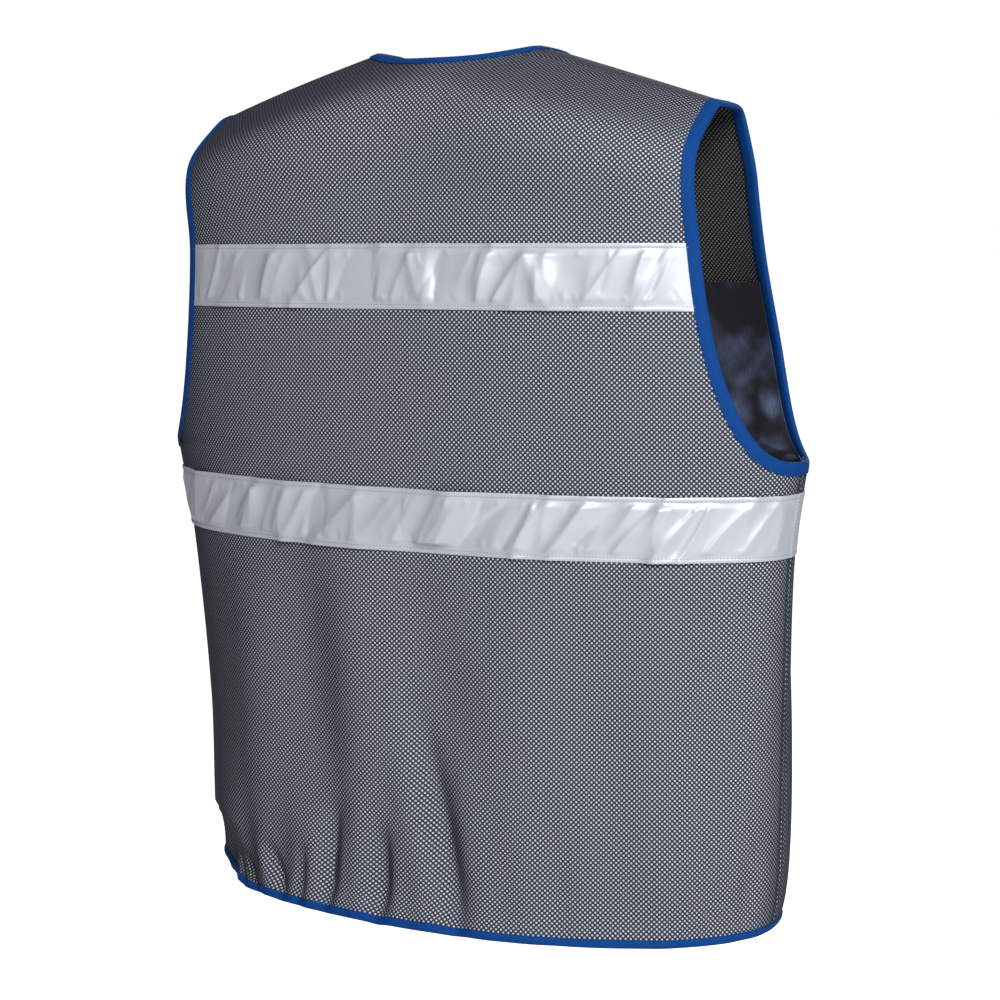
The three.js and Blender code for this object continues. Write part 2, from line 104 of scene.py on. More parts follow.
# Sections of the body by rise: width, depth, forward
BODY = np.array([
    (0.00, 0.902, 1.21, 0.5),
    (0.05, 0.912, 1.20, 0.9),
    (0.13, 0.919, 1.19, 1.1),
    (0.40, 0.927, 1.13, 1.4),
    (0.80, 0.958, 1.01, 0.3),
    (1.00, 1.000, 1.00, 0.0),
])
# Sections of the yoke by rise: back, front
YOKE = np.array([
    (0.00, 1.00, 1.00),
    (0.30, 1.02, 1.07),
    (0.60, 1.02, 0.80),
    (0.85, 1.07, 0.60),
    (1.00, 0.42, 0.50),
])
# Gathers at the hem: turn round the body, spread, depth, peak above the hem
GATHERS = [
    (-63, 7.2, 0.0027, 0.024),
    (-38, 8.4, 0.0027, 0.027),
    (-6, 6.6, 0.0090, 0.066),
    (7, 5.4, 0.0072, 0.036),
    (18, 5.4, 0.0068, 0.045),
    (32, 4.8, 0.0054, 0.024),
    (44, 4.2, 0.0045, 0.021),
    (68, 6.6, 0.0045, 0.030),
    (116, 7.8, 0.0054, 0.036),
    (146, 7.2, 0.0045, 0.030),
    (-116, 7.8, 0.0054, 0.036),
    (-146, 7.2, 0.0045, 0.030),
]
# Finer creases of the worn cloth: turn at the hem, lean per metre, spread, height, low, high
CREASES = [
    (-8.9, -56, 2.2, -0.0052, 0.00, 0.19),
    (-14.5, -50, 3.2, 0.0022, 0.00, 0.17),
    (-2.8, -50, 2.4, 0.0026, 0.00, 0.15),
    (3.4, -10, 2.0, 0.0018, 0.00, 0.09),
    (7.4, 0, 1.8, -0.0040, 0.00, 0.080),
    (12.0, -5, 2.4, 0.0022, 0.00, 0.10),
    (16.0, 0, 1.8, 0.0014, 0.00, 0.08),
    (19.4, 15, 1.6, -0.0036, 0.00, 0.090),
    (23.0, 0, 1.8, 0.0016, 0.00, 0.07),
    (26.2, 15, 1.3, -0.0024, 0.00, 0.050),
    (31.0, -130, 1.4, -0.0030, 0.00, 0.045),
    (35.0, -130, 1.6, 0.0014, 0.00, 0.040),
    (39.3, -370, 1.8, -0.0026, 0.00, 0.032),
    (47.0, -180, 1.7, -0.0024, 0.00, 0.032),
    (55.0, -60, 2.4, -0.0020, 0.00, 0.040),
    (66.0, 0, 15.0, -0.0100, -0.03, 0.050),
    (-28.6, -35, 3.0, -0.0016, 0.00, 0.10),
    (-22.0, -35, 4.0, 0.0014, 0.00, 0.12),
    (-40.5, -28, 5.0, -0.0018, 0.00, 0.26),
    (-50.0, -10, 4.0, 0.0012, 0.00, 0.08),
    (-72.0, 20, 4.0, -0.0014, 0.00, 0.08),
    (-6.0, -25, 6.0, -0.0030, 0.06, 0.34),
    (9.0, -15, 7.5, 0.0036, 0.05, 0.34),
    (24.0, 0, 7.0, -0.0030, 0.05, 0.31),
    (40.0, 0, 8.0, 0.0020, 0.05, 0.30),
    (-20.0, -10, 8.0, 0.0024, 0.05, 0.32),
    (-58.0, -10, 8.0, -0.0020, 0.05, 0.28),
    (100, 0, 6.0, 0.0020, 0.00, 0.20),
    (128, 15, 5.0, 0.0022, 0.00, 0.16),
    (-100, 0, 6.0, 0.0020, 0.00, 0.20),
    (-128, -15, 5.0, 0.0022, 0.00, 0.16),
]


def smooth_step(share):
    share = np.clip(share, 0, 1)
    return share * share * (3 - 2 * share)


def along(table, column, rise):
    x, y = table[:, 0], table[:, column]
    slopes = np.empty(len(x))
    for k in range(len(x)):
        low, high = max(k - 1, 0), min(k + 1, len(x) - 1)
        slopes[k] = (y[high] - y[low]) / (x[high] - x[low])
    k = np.clip(np.searchsorted(x, rise, side="left") - 1, 0, len(x) - 2)
    span = x[k + 1] - x[k]
    t = np.clip((rise - x[k]) / span, 0, 1)
    start = y[k] * (2 * t**3 - 3 * t**2 + 1) + slopes[k] * span * (t**3 - 2 * t**2 + t)
    return start + y[k + 1] * (3 * t**2 - 2 * t**3) + slopes[k + 1] * span * (t**3 - t**2)


def rounded(angle, squareness):
    across, out = np.sin(angle), np.cos(angle)
    reach = (np.abs(across) ** squareness + np.abs(out) ** squareness) ** (-1 / squareness)
    return across * reach, out * reach


def angle_across(share, squareness):
    share = np.clip(share, 0, 1 - 1e-12)
    return np.arctan2(share, (1 - share**squareness) ** (1 / squareness))


def shoulder_height(x):
    return -SHOULDER_SLOPE * (np.hypot(x, SHOULDER_ROUNDING) - math.hypot(NECK_HALF_WIDTH, SHOULDER_ROUNDING))


def shoulder_squareness(x):
    return NECK_SQUARENESS + (SHOULDER_SQUARENESS - NECK_SQUARENESS) * smooth_step(np.abs(x) / NECK_SPREAD)


def yoke_half_width(climb):
    return CHEST_HALF_WIDTH + (YOKE_HALF_WIDTH - CHEST_HALF_WIDTH) * smooth_step(climb)


def yoke_squareness(climb):
    return BODY_SQUARENESS + (YOKE_SQUARENESS - BODY_SQUARENESS) * np.clip(climb, 0, 1)


def turn_of(side, angle):
    degrees = np.degrees(angle)
    return np.where(side == BACK, degrees, np.where(degrees >= 0, 180.0, -180.0) - degrees)


def skin(side, angle, level):
    side, angle, level = np.broadcast_arrays(side, np.asarray(angle, float), np.asarray(level, float))
    climb, drop = np.maximum(level, 0), np.minimum(level, 0)
    across, out = rounded(angle, yoke_squareness(climb))
    reach = np.where(side == BACK, DEPTH[BACK], DEPTH[FRONT])
    turn = turn_of(side, angle)
    height = (1 + drop) * SIDE_LENGTH
    inwards = np.zeros_like(angle)
    for fold, spread, depth, peak in GATHERS:
        swell = height / peak
        inwards = inwards + depth * np.exp(-(((turn - fold) / spread) ** 2)) * swell * np.exp(1 - swell)
    pull = np.where(level < 0, 1 - inwards / CHEST_HALF_WIDTH, 1)
    body_half_width = CHEST_HALF_WIDTH * along(BODY, 1, 1 + drop)
    half_width = np.where(level < 0, body_half_width, yoke_half_width(climb)) * pull
    depth = reach * np.where(level < 0, along(BODY, 2, 1 + drop), 1) * (1 - 2 * (1 - pull))
    centre = -CHEST_FORWARD - np.where(level < 0, BODY_FORWARD * along(BODY, 3, 1 + drop), 0)
    x = half_width * across
    y = centre + side * depth * out
    rise, arch = rounded(climb * QUARTER, shoulder_squareness(x))
    stand = np.where(side == BACK, along(YOKE, 1, rise), along(YOKE, 2, rise))
    y = np.where(level > 0, y * arch * stand, y)
    z = -ARMHOLE_DEPTH + drop * SIDE_LENGTH
    z = np.where(level > 0, z + (shoulder_height(x) + ARMHOLE_DEPTH) * rise, z)
    x = x + HEM_ASIDE * z / (ARMHOLE_DEPTH + SIDE_LENGTH)
    return np.stack([x, y + side * SEAM_GAP / 2, z], -1)


def directions(side, angle, level):
    step = 1e-3
    side = np.broadcast_to(side, np.broadcast(side, angle, level).shape)
    across = (skin(side, angle + step, level) - skin(side, angle - step, level)) / (2 * step)
    up = (skin(side, angle, level + step) - skin(side, angle, level - step)) / (2 * step)
    out = np.cross(across, up) * -side[..., None]
    return across, up, out / np.linalg.norm(out, axis=-1, keepdims=True)


# A crease that starts at the hem is already partly swollen there
CREASE_STRENGTH = 1.7
HEM_SHARE = 0.15


def crease(side, angle, level):
    height = (1 + level) * SIDE_LENGTH
    turn = turn_of(side, angle)
    lift = np.zeros(np.broadcast(turn, height).shape)
    for fold, lean, spread, size, low, high in CREASES:
        share = np.clip((height - low) / (high - low), 0, 1)
        start = HEM_SHARE if low == 0 else 0
        swell = np.sin(np.pi * np.clip(share * (1 - start) + start, 0, 1))
        lift = lift + size * swell * np.exp(-(((turn - fold + lean * height) / spread) ** 2))
    return lift


# The skin's bend at the armholes' lowest level, rounded off over a short way
EASE_SPREAD = 0.03
EASE_REACH = 0.07


def eased(side, angle, level):
    spread = EASE_SPREAD * np.exp(-((level / EASE_REACH) ** 2))
    below, here, above = (skin(side, angle, level + step) for step in (-spread, 0, spread))
    return (below + 2 * here + above) / 4


def cloth(side, angle, level, height=0.0):
    out = directions(side, angle, level)[2]
    lift = CREASE_STRENGTH * crease(side, angle, level) + height
    return eased(side, angle, level) + out * np.asarray(lift)[..., None], out


def edge_angle(side, level):
    rise = rounded(np.maximum(level, 0) * QUARTER, SHOULDER_SQUARENESS)[0]
    narrow, scoop = ACROSS_HALF[side], SCOOP[side]
    sweep = np.arccos(np.clip(1 - rise / scoop, -1, 1))
    low = CHEST_HALF_WIDTH - (CHEST_HALF_WIDTH - narrow) * np.sin(np.minimum(sweep, QUARTER))
    high = narrow + (SHOULDER_HALF_WIDTH - narrow) * smooth_step((rise - scoop) / (1 - scoop))
    half = np.where(rise < scoop, low, high)
    return np.where(level <= 0, QUARTER, angle_across(half / yoke_half_width(level), yoke_squareness(level)))


def zip_angle(level):
    body_half_width = CHEST_HALF_WIDTH * along(BODY, 1, 1 + np.minimum(level, 0))
    half = np.where(level > 0, yoke_half_width(level), body_half_width)
    return angle_across((ZIP_HALF_WIDTH + SEAM_GAP) / half, yoke_squareness(np.maximum(level, 0)))


# Columns run from -1 to 1 on the back, and from 0 at the zip to 1 on a front
def column_angle(side, hand, column, level):
    edge = edge_angle(side, level)
    if side == BACK:
        return column * edge
    start = zip_angle(level)
    return hand * (start + (edge - start) * column)


def bisected(is_low, shape):
    low, high = np.zeros(shape), np.ones(shape)
    for _ in range(34):
        middle = (low + high) / 2
        below = is_low(middle)
        low, high = np.where(below, middle, low), np.where(below, high, middle)
    return (low + high) / 2


def top_level(side, hand, column):
    def is_low(level):
        angle = column_angle(side, hand, column, level)
        across = yoke_half_width(level) * rounded(angle, yoke_squareness(level))[0]
        share = np.abs(across) / NECK_HALF_WIDTH
        line = -NECK_DROP[side] * (1 - np.minimum(share, 1) ** NECK_CURVE[side])
        return (share >= 1) | (skin(side, angle, level)[..., 2] < line)
    return bisected(is_low, np.shape(column))


def level_at(side, hand, column, z):
    def is_low(level):
        return skin(side, column_angle(side, hand, column, level), level)[..., 2] < z
    above = bisected(is_low, np.shape(column))
    return np.where(z <= -ARMHOLE_DEPTH, (z + ARMHOLE_DEPTH) / SIDE_LENGTH, above)


def lengths(points, axis):
    steps = np.linalg.norm(np.diff(points, axis=axis), axis=-1)
    pad = [(0, 0), (0, 0)]
    pad[axis] = (1, 0)
    return np.pad(np.cumsum(steps, axis=axis), pad)


def shell(name, outer, inner, uv, material):
    rows, columns = outer.shape[:2]
    index = np.arange(rows * columns).reshape(rows, columns)
    a, b, c, d = index[:-1, :-1], index[:-1, 1:], index[1:, 1:], index[1:, :-1]
    cells = np.stack([a, b, c, d], -1).reshape(-1, 4)
    r, k = rows // 2, columns // 2
    facing = np.cross(outer[r, k] - outer[r, k - 1], outer[r, k] - outer[r - 1, k])
    if facing @ (outer[r, k] - inner[r, k]) < 0:
        cells = cells[:, ::-1]
    count = rows * columns
    rim = np.concatenate([index[0, :], index[1:, -1], index[-1, -2::-1], index[-2:0:-1, 0]])
    following = np.roll(rim, -1)
    if not (cells[0, 0] == index[0, 0] and cells[0, 1] == index[0, 1]):
        rim, following = following, rim
    sides = np.stack([following, rim, rim + count, following + count], -1)
    faces = np.concatenate([cells, cells[:, ::-1] + count, sides])
    return solid_mesh(name, np.concatenate([outer.reshape(-1, 3), inner.reshape(-1, 3)]), faces.tolist(),
                      np.tile(uv.reshape(-1, 2), (2, 1)), np.repeat([0.0, 1.0], count), material)


def solid_mesh(name, points, faces, uv, inside, material):
    mesh = bpy.data.meshes.new(name)
    mesh.from_pydata(points.tolist(), [], faces)
    layer = mesh.uv_layers.new(name="cloth")
    corners = np.empty(len(mesh.loops), dtype=np.int32)
    mesh.loops.foreach_get("vertex_index", corners)
    layer.data.foreach_set("uv", uv[corners].astype(np.float32).ravel())
    if inside is not None:
        mesh.attributes.new("inside", "FLOAT", "POINT").data.foreach_set("value", inside.astype(np.float32))
    mesh.polygons.foreach_set("use_smooth", [True] * len(mesh.polygons))
    mesh.set_sharp_from_angle(angle=math.radians(50))
    mesh.materials.append(material)
    return scene_object(name, mesh)


def shader(name, looks):
    material = bpy.data.materials.new(name)
    material.use_nodes = True
    tree = material.node_tree
    cover = tree.nodes["Principled BSDF"]
    for socket, value in looks.items():
        cover.inputs[socket].default_value = value
    return material, tree.nodes, tree.links, cover


def cloth_shader(name, looks):
    material, nodes, links, cover = shader(name, looks)
    uv = nodes.new("ShaderNodeUVMap")
    uv.uv_map = "cloth"
    return material, nodes, links, cover, uv.outputs[0]


def node_group(name, inputs, outputs):
    group = bpy.data.node_groups.new(name, "ShaderNodeTree")
    for socket, kind, value in inputs:
        made = group.interface.new_socket(socket, in_out="INPUT", socket_type=kind)
        if value is not None:
            made.default_value = value
    for socket, kind in outputs:
        group.interface.new_socket(socket, in_out="OUTPUT", socket_type=kind)
    nodes, links = group.nodes, group.links
    return group, nodes, links, nodes.new("NodeGroupInput"), nodes.new("NodeGroupOutput")


def put(links, value, socket):
    if isinstance(value, bpy.types.NodeSocket):
        links.new(value, socket)
    else:
        socket.default_value = value


def joined(nodes, links, kind, operation, first, second=None, third=None):
    node = nodes.new(kind)
    node.operation = operation
    for socket, value in zip(node.inputs, (first, second, third)):
        if value is not None:
            put(links, value, socket)
    return node


def noise(nodes, links, place, scale, detail=2.0):
    node = nodes.new("ShaderNodeTexNoise")
    node.inputs["Scale"].default_value = scale
    node.inputs["Detail"].default_value = detail
    links.new(place, node.inputs["Vector"])
    return node.outputs["Fac"]


def ranged(nodes, links, value, limits=(0.0, 1.0), results=(0.0, 1.0), kind="LINEAR"):
    node = nodes.new("ShaderNodeMapRange")
    node.interpolation_type = kind
    for socket, number in zip(("From Min", "From Max", "To Min", "To Max"), (*limits, *results)):
        put(links, number, node.inputs[socket])
    links.new(value, node.inputs["Value"])
    return node.outputs["Result"]


def bumped(nodes, links, cover, height, strength, distance):
    bump = nodes.new("ShaderNodeBump")
    bump.inputs["Strength"].default_value = strength
    bump.inputs["Distance"].default_value = distance
    links.new(height, bump.inputs["Height"])
    links.new(bump.outputs[0], cover.inputs["Normal"])


# The knit's holes: round dots on a square lattice that is turned by 45 degrees
def dot_lattice():
    group, nodes, links, given, result = node_group(
        "dot lattice",
        [("Vector", "NodeSocketVector", None), ("Spacing", "NodeSocketFloat", 0.00387),
         ("Radius", "NodeSocketFloat", 0.20), ("Softness", "NodeSocketFloat", 0.06)],
        [("Dots", "NodeSocketFloat"), ("Height", "NodeSocketFloat")],
    )
    place, spacing = given.outputs["Vector"], given.outputs["Spacing"]
    scaled = joined(nodes, links, "ShaderNodeVectorMath", "DIVIDE", place, spacing)
    reaches = []
    for shift in (0.0, 0.5):
        moved = joined(nodes, links, "ShaderNodeVectorMath", "ADD", scaled.outputs[0], (shift, shift, 0.0))
        cell = joined(nodes, links, "ShaderNodeVectorMath", "FRACTION", moved.outputs[0])
        centred = joined(nodes, links, "ShaderNodeVectorMath", "SUBTRACT", cell.outputs[0], (0.5, 0.5, 0.0))
        flat = joined(nodes, links, "ShaderNodeVectorMath", "MULTIPLY", centred.outputs[0], (1.0, 1.0, 0.0))
        reach = joined(nodes, links, "ShaderNodeVectorMath", "LENGTH", flat.outputs[0])
        reaches.append(reach.outputs["Value"])
    nearest = joined(nodes, links, "ShaderNodeMath", "MINIMUM", reaches[0], reaches[1])
    radius, softness = given.outputs["Radius"], given.outputs["Softness"]
    low = joined(nodes, links, "ShaderNodeMath", "SUBTRACT", radius, softness).outputs[0]
    high = joined(nodes, links, "ShaderNodeMath", "ADD", radius, softness).outputs[0]
    dots = ranged(nodes, links, nearest.outputs[0], (low, high), (1.0, 0.0), "SMOOTHSTEP")
    strands = joined(nodes, links, "ShaderNodeMath", "MULTIPLY", nearest.outputs[0], 2.0)
    links.new(dots, result.inputs["Dots"])
    links.new(strands.outputs[0], result.inputs["Height"])
    return group


def mixed(nodes, links, share, first, second):
    node = nodes.new("ShaderNodeMix")
    node.data_type = "RGBA"
    put(links, share, node.inputs["Factor"])
    for socket, value in ((node.inputs[6], first), (node.inputs[7], second)):
        put(links, (*value, 1.0) if isinstance(value, tuple) else value, socket)
    return node.outputs[2]


# The knit outside: dark blue-grey net over a pale core; inside: black net over a greyer core
NET_DARK = (0.013, 0.015, 0.027)
NET_LIGHT = (0.039, 0.045, 0.068)
CORE_WHITE = (0.58, 0.605, 0.70)
INNER_NET = (0.010, 0.010, 0.010)
INNER_CORE = (0.270, 0.265, 0.275)


def spacer_mesh_material():
    looks = {"Roughness": 0.75, "Specular IOR Level": 0.3}
    material, nodes, links, cover, uv = cloth_shader("spacer mesh", looks)
    lattice = nodes.new("ShaderNodeGroup")
    lattice.node_tree = dot_lattice()
    links.new(uv, lattice.inputs["Vector"])
    inside = nodes.new("ShaderNodeAttribute")
    inside.attribute_name = "inside"
    net = mixed(nodes, links, noise(nodes, links, uv, 900.0), NET_DARK, NET_LIGHT)
    slant = nodes.new("ShaderNodeLayerWeight")
    slant.inputs["Blend"].default_value = 0.5
    shown = ranged(nodes, links, slant.outputs["Facing"], (0.15, 0.80), (1.0, 0.12), "SMOOTHSTEP")
    # Along the seams the core's dots are dimmed towards the net's colour: painted shade of the seam groove,
    # where the pressed knit also shows less of its core.
    seam_groove_and_shade = nodes.new("ShaderNodeAttribute")
    seam_groove_and_shade.attribute_name = "seam_groove_and_shade"
    clear_of_seam_shade = joined(nodes, links, "ShaderNodeMath", "MULTIPLY_ADD", seam_groove_and_shade.outputs["Fac"], -0.9, 1.0)
    dots = lattice.outputs["Dots"]
    core = joined(nodes, links, "ShaderNodeMath", "MULTIPLY", dots, shown)
    core = joined(nodes, links, "ShaderNodeMath", "MULTIPLY", core.outputs[0], clear_of_seam_shade.outputs[0])
    face = mixed(nodes, links, core.outputs[0], net, CORE_WHITE)
    back_face = mixed(nodes, links, dots, INNER_NET, INNER_CORE)
    links.new(mixed(nodes, links, inside.outputs["Fac"], face, back_face), cover.inputs["Base Color"])
    bumped(nodes, links, cover, lattice.outputs["Height"], 0.5, 0.0006)
    return material


spacer_mesh = spacer_mesh_material()


# Where each place of a side lies in the flat cloth: the side laid out with as little strain as
# it allows, so that the knit runs evenly over it
def laid_out(side, columns=33, rows=40):
    dense = np.linspace(-1, 1, 801)
    run = lengths(skin(side, 0.3, dense)[:, None], 0)[:, 0]
    levels = np.interp(np.linspace(0, run[-1], rows), run, dense)
    angles = np.linspace(-QUARTER, QUARTER, columns)
    points = eased(side, angles[None, :], levels[:, None])
    index = np.arange(rows * columns).reshape(rows, columns)
    a, b = index[:-1, :-1].ravel(), index[:-1, 1:].ravel()
    c, d = index[1:, 1:].ravel(), index[1:, :-1].ravel()
    triangles = np.concatenate([np.stack([a, b, c], 1), np.stack([a, c, d], 1)])
    u = lengths(points, 1)
    u = u - u[:, columns // 2][:, None]
    v = np.repeat(lengths(points, 0)[:, columns // 2][:, None], columns, 1)
    flat = np.stack([u, v], -1).reshape(-1, 2)
    corner = points.reshape(-1, 3)[triangles]
    first, second = corner[:, 1] - corner[:, 0], corner[:, 2] - corner[:, 0]
    width = np.linalg.norm(first, axis=1)
    along_first = (first * second).sum(1) / width
    tall = np.sqrt((second * second).sum(1) - along_first**2)
    rest = np.zeros((len(triangles), 3, 2))
    rest[:, 1, 0], rest[:, 2, 0], rest[:, 2, 1] = width, along_first, tall
    middle = triangles[:, 0]
    beyond = np.abs(angles[middle % columns]) - edge_angle(side, levels[middle // columns])
    matter = np.where(beyond > 0.05, 0.02, 1.0)
    matrix = np.zeros((rows * columns, rows * columns))
    pulls = []
    for k in range(3):
        i, j, other = k, (k + 1) % 3, (k + 2) % 3
        p, q = rest[:, i] - rest[:, other], rest[:, j] - rest[:, other]
        weight = matter * np.maximum((p * q).sum(1) / (width * tall), 0.05)
        edge = rest[:, i] - rest[:, j]
        start, end = triangles[:, i], triangles[:, j]
        pulls.append((start, end, edge, weight))
        for row, column, sign in ((start, start, 1), (end, end, 1), (start, end, -1), (end, start, -1)):
            np.add.at(matrix, (row, column), sign * weight)
    pin = index[rows // 2, columns // 2]
    matrix[pin, pin] += 1.0
    solve = np.linalg.inv(matrix)
    for _ in range(40):
        spin = np.zeros((len(triangles), 2, 2))
        for start, end, edge, weight in pulls:
            spin += weight[:, None, None] * (flat[start] - flat[end])[:, :, None] * edge[:, None, :]
        turn = np.arctan2(spin[:, 1, 0] - spin[:, 0, 1], spin[:, 0, 0] + spin[:, 1, 1])
        cosine, sine = np.cos(turn), np.sin(turn)
        force = np.zeros_like(flat)
        for start, end, edge, weight in pulls:
            x, y = edge[:, 0], edge[:, 1]
            turned = np.stack([cosine * x - sine * y, sine * x + cosine * y], 1) * weight[:, None]
            np.add.at(force, start, turned)
            np.add.at(force, end, -turned)
        force[pin] += flat[pin]
        flat = solve @ force
    return angles, levels, flat.reshape(rows, columns, 2)


layouts = {side: laid_out(side) for side in (BACK, FRONT)}


def cloth_uv(side, angle, level):
    angles, levels, flat = layouts[side]
    x = np.interp(angle, angles, np.arange(len(angles)))
    y = np.interp(level, levels, np.arange(len(levels)))
    k, r = np.minimum(x.astype(int), len(angles) - 2), np.minimum(y.astype(int), len(levels) - 2)
    x, y = (x - k)[..., None], (y - r)[..., None]
    low = flat[r, k] * (1 - x) + flat[r, k + 1] * x
    high = flat[r + 1, k] * (1 - x) + flat[r + 1, k + 1] * x
    return low * (1 - y) + high * y


# The topmost rows bend to follow the neckline; seams press the mesh into a narrow groove
NECK_ROWS = 60
SEAM_DEPTH = 0.0013
SIDE_SEAM_INSET = 0.003
SIDE_SEAM_SPREAD = 0.0020
SHOULDER_SEAM_SPREAD = 0.0022
SEAM_FADE = 0.004
BOUND_EDGE = 0.008


def panel_points(side, hand, columns, rows):
    shares = np.linspace(-1 if side == BACK else 0, 1, columns)
    top = top_level(side, hand, shares)
    under_neck = top.min() - 0.02
    lower = np.linspace(-1, under_neck, rows - NECK_ROWS, endpoint=False)
    upper = np.linspace(0, 1, NECK_ROWS)[:, None]
    bent = under_neck + upper * (top - under_neck)[None, :]
    level = np.concatenate([np.repeat(lower[:, None], columns, 1), bent])
    angle = column_angle(side, hand, shares[None, :], level)
    middle, out = cloth(side, angle, level)
    u, v = lengths(middle, 1), lengths(middle, 0)
    from_side = np.minimum(u - u[:, :1], 1) if side == BACK else np.ones_like(u)
    from_side = np.minimum(from_side, u[:, -1:] - u)
    from_shoulder = v[-1:, :] - v
    is_shoulder = smooth_step((np.abs(middle[..., 0]) - NECK_HALF_WIDTH - 0.006) / SEAM_FADE)
    side_dip = np.exp(-(((from_side - SIDE_SEAM_INSET) / SIDE_SEAM_SPREAD) ** 2))
    side_dip = side_dip * smooth_step(-level / 0.02)
    shoulder_dip = np.exp(-((from_shoulder / SHOULDER_SEAM_SPREAD) ** 2)) * is_shoulder
    shoulder_dip = shoulder_dip * smooth_step((from_side - BOUND_EDGE) / SEAM_FADE)
    # This mask deepens the seam grooves and also carries the painted groove shade to the knit's shader.
    seam_groove_and_shade = np.maximum(side_dip, shoulder_dip)
    middle = middle - out * (SEAM_DEPTH * seam_groove_and_shade)[..., None]
    return middle, out, cloth_uv(side, angle, level), seam_groove_and_shade


def sewn_panel(name, node, side, hand, columns, rows):
    middle, out, uv, seam_groove_and_shade = panel_points(side, hand, columns, rows)
    piece = shell(name, middle + out * HALF_MESH, middle - out * HALF_MESH, uv, spacer_mesh)
    seam_groove_and_shade = np.tile(seam_groove_and_shade.ravel(), 2).astype(np.float32)
    piece.data.attributes.new("seam_groove_and_shade", "FLOAT", "POINT").data.foreach_set("value", seam_groove_and_shade)
    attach(piece, "root")
    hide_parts(node)
    return piece


sewn_panel("back_cloth", "back_panel", BACK, 1, 181, 200)
sewn_panel("front_cloth_left", "front_panel_left", FRONT, 1, 97, 200)
sewn_panel("front_cloth_right", "front_panel_right", FRONT, -1, 97, 200)


# Bindings: royal blue woven tape, folded over the free edges of neck, armholes and hem and sewn
# through close to its inner edge.
ARMHOLE_BINDING_WIDTH = 0.0088
HEM_BINDING_WIDTH = 0.0050
NECK_BINDING_WIDTH = 0.0078
BINDING_RISE = 0.0010


WHOLE_TURN = 6.2832


def weave_group():
    group, nodes, links, given, result = node_group(
        "weave",
        [("Vector", "NodeSocketVector", None), ("Spacing", "NodeSocketFloat", 0.0006)],
        [("Height", "NodeSocketFloat"), ("Tone", "NodeSocketFloat")],
    )
    turns = joined(nodes, links, "ShaderNodeMath", "DIVIDE", WHOLE_TURN, given.outputs["Spacing"])
    scaled = joined(nodes, links, "ShaderNodeVectorMath", "SCALE", given.outputs["Vector"])
    links.new(turns.outputs[0], scaled.inputs["Scale"])
    split = nodes.new("ShaderNodeSeparateXYZ")
    links.new(scaled.outputs[0], split.inputs[0])
    warp = joined(nodes, links, "ShaderNodeMath", "SINE", split.outputs[0])
    weft = joined(nodes, links, "ShaderNodeMath", "SINE", split.outputs[1])
    crossed = joined(nodes, links, "ShaderNodeMath", "MULTIPLY", warp.outputs[0], weft.outputs[0])
    links.new(crossed.outputs[0], result.inputs["Height"])
    links.new(noise(nodes, links, given.outputs["Vector"], 220.0, 3.0), result.inputs["Tone"])
    return group


weave = weave_group()


def woven_threads(nodes, links, place, spacing):
    threads = nodes.new("ShaderNodeGroup")
    threads.node_tree = weave
    threads.inputs["Spacing"].default_value = spacing
    links.new(place, threads.inputs["Vector"])
    return threads


def woven_material(name, dark, light, spacing, strength, roughness):
    looks = {"Roughness": roughness, "Specular IOR Level": 0.15}
    material, nodes, links, cover, uv = cloth_shader(name, looks)
    threads = woven_threads(nodes, links, uv, spacing)
    # The threads' crowns are painted lighter and their hollows darker: painted shade of the weave, mixed with
    # its random tone.
    lit = ranged(nodes, links, threads.outputs["Height"], (-1.0, 1.0))
    painted_weave_shade = joined(nodes, links, "ShaderNodeMath", "MULTIPLY", lit, 0.35)
    threads_tone = threads.outputs["Tone"]
    share = joined(nodes, links, "ShaderNodeMath", "MULTIPLY_ADD", threads_tone, 0.65, painted_weave_shade.outputs[0])
    links.new(mixed(nodes, links, share.outputs[0], dark, light), cover.inputs["Base Color"])
    bumped(nodes, links, cover, threads.outputs["Height"], strength, 0.0002)
    return material


BLUE_DARK = (0.0010, 0.042, 0.200)
BLUE_LIGHT = (0.0025, 0.072, 0.310)
edge_blue = woven_material("edge binding", BLUE_DARK, BLUE_LIGHT, 0.0009, 0.35, 0.72)


# A free edge as a run of places on the cloth: side, angle and level of each
def edge_places(parts):
    def gathered(k):
        return np.concatenate([np.broadcast_to(part[k], np.shape(part[2])) for part in parts])
    return tuple(gathered(k) for k in range(3))


def evened(places, count, is_loop):
    side, angle, level = places
    points = skin(side, angle, level)
    if is_loop:
        points = np.concatenate([points, points[:1]])
        side, angle, level = (np.concatenate([v, v[:1]]) for v in (side, angle, level))
    steps = np.linalg.norm(np.diff(points, axis=0), axis=1)
    apart = np.concatenate([[True], steps > 1e-5])
    side, angle, level, points = side[apart], angle[apart], level[apart], points[apart]
    run = np.concatenate([[0], np.cumsum(np.linalg.norm(np.diff(points, axis=0), axis=1))])
    want = np.linspace(0, run[-1], count + 1)[:-1] if is_loop else np.linspace(0, run[-1], count)
    k = np.clip(np.searchsorted(run, want, side="right") - 1, 0, len(run) - 2)
    share = (want - run[k]) / (run[k + 1] - run[k])
    crosses = side[k] != side[k + 1]
    near = np.where(share < 0.5, k, k + 1)
    angle = np.where(crosses, angle[near], angle[k] + (angle[k + 1] - angle[k]) * share)
    level = np.where(crosses, level[near], level[k] + (level[k + 1] - level[k]) * share)
    return side[near], angle, level


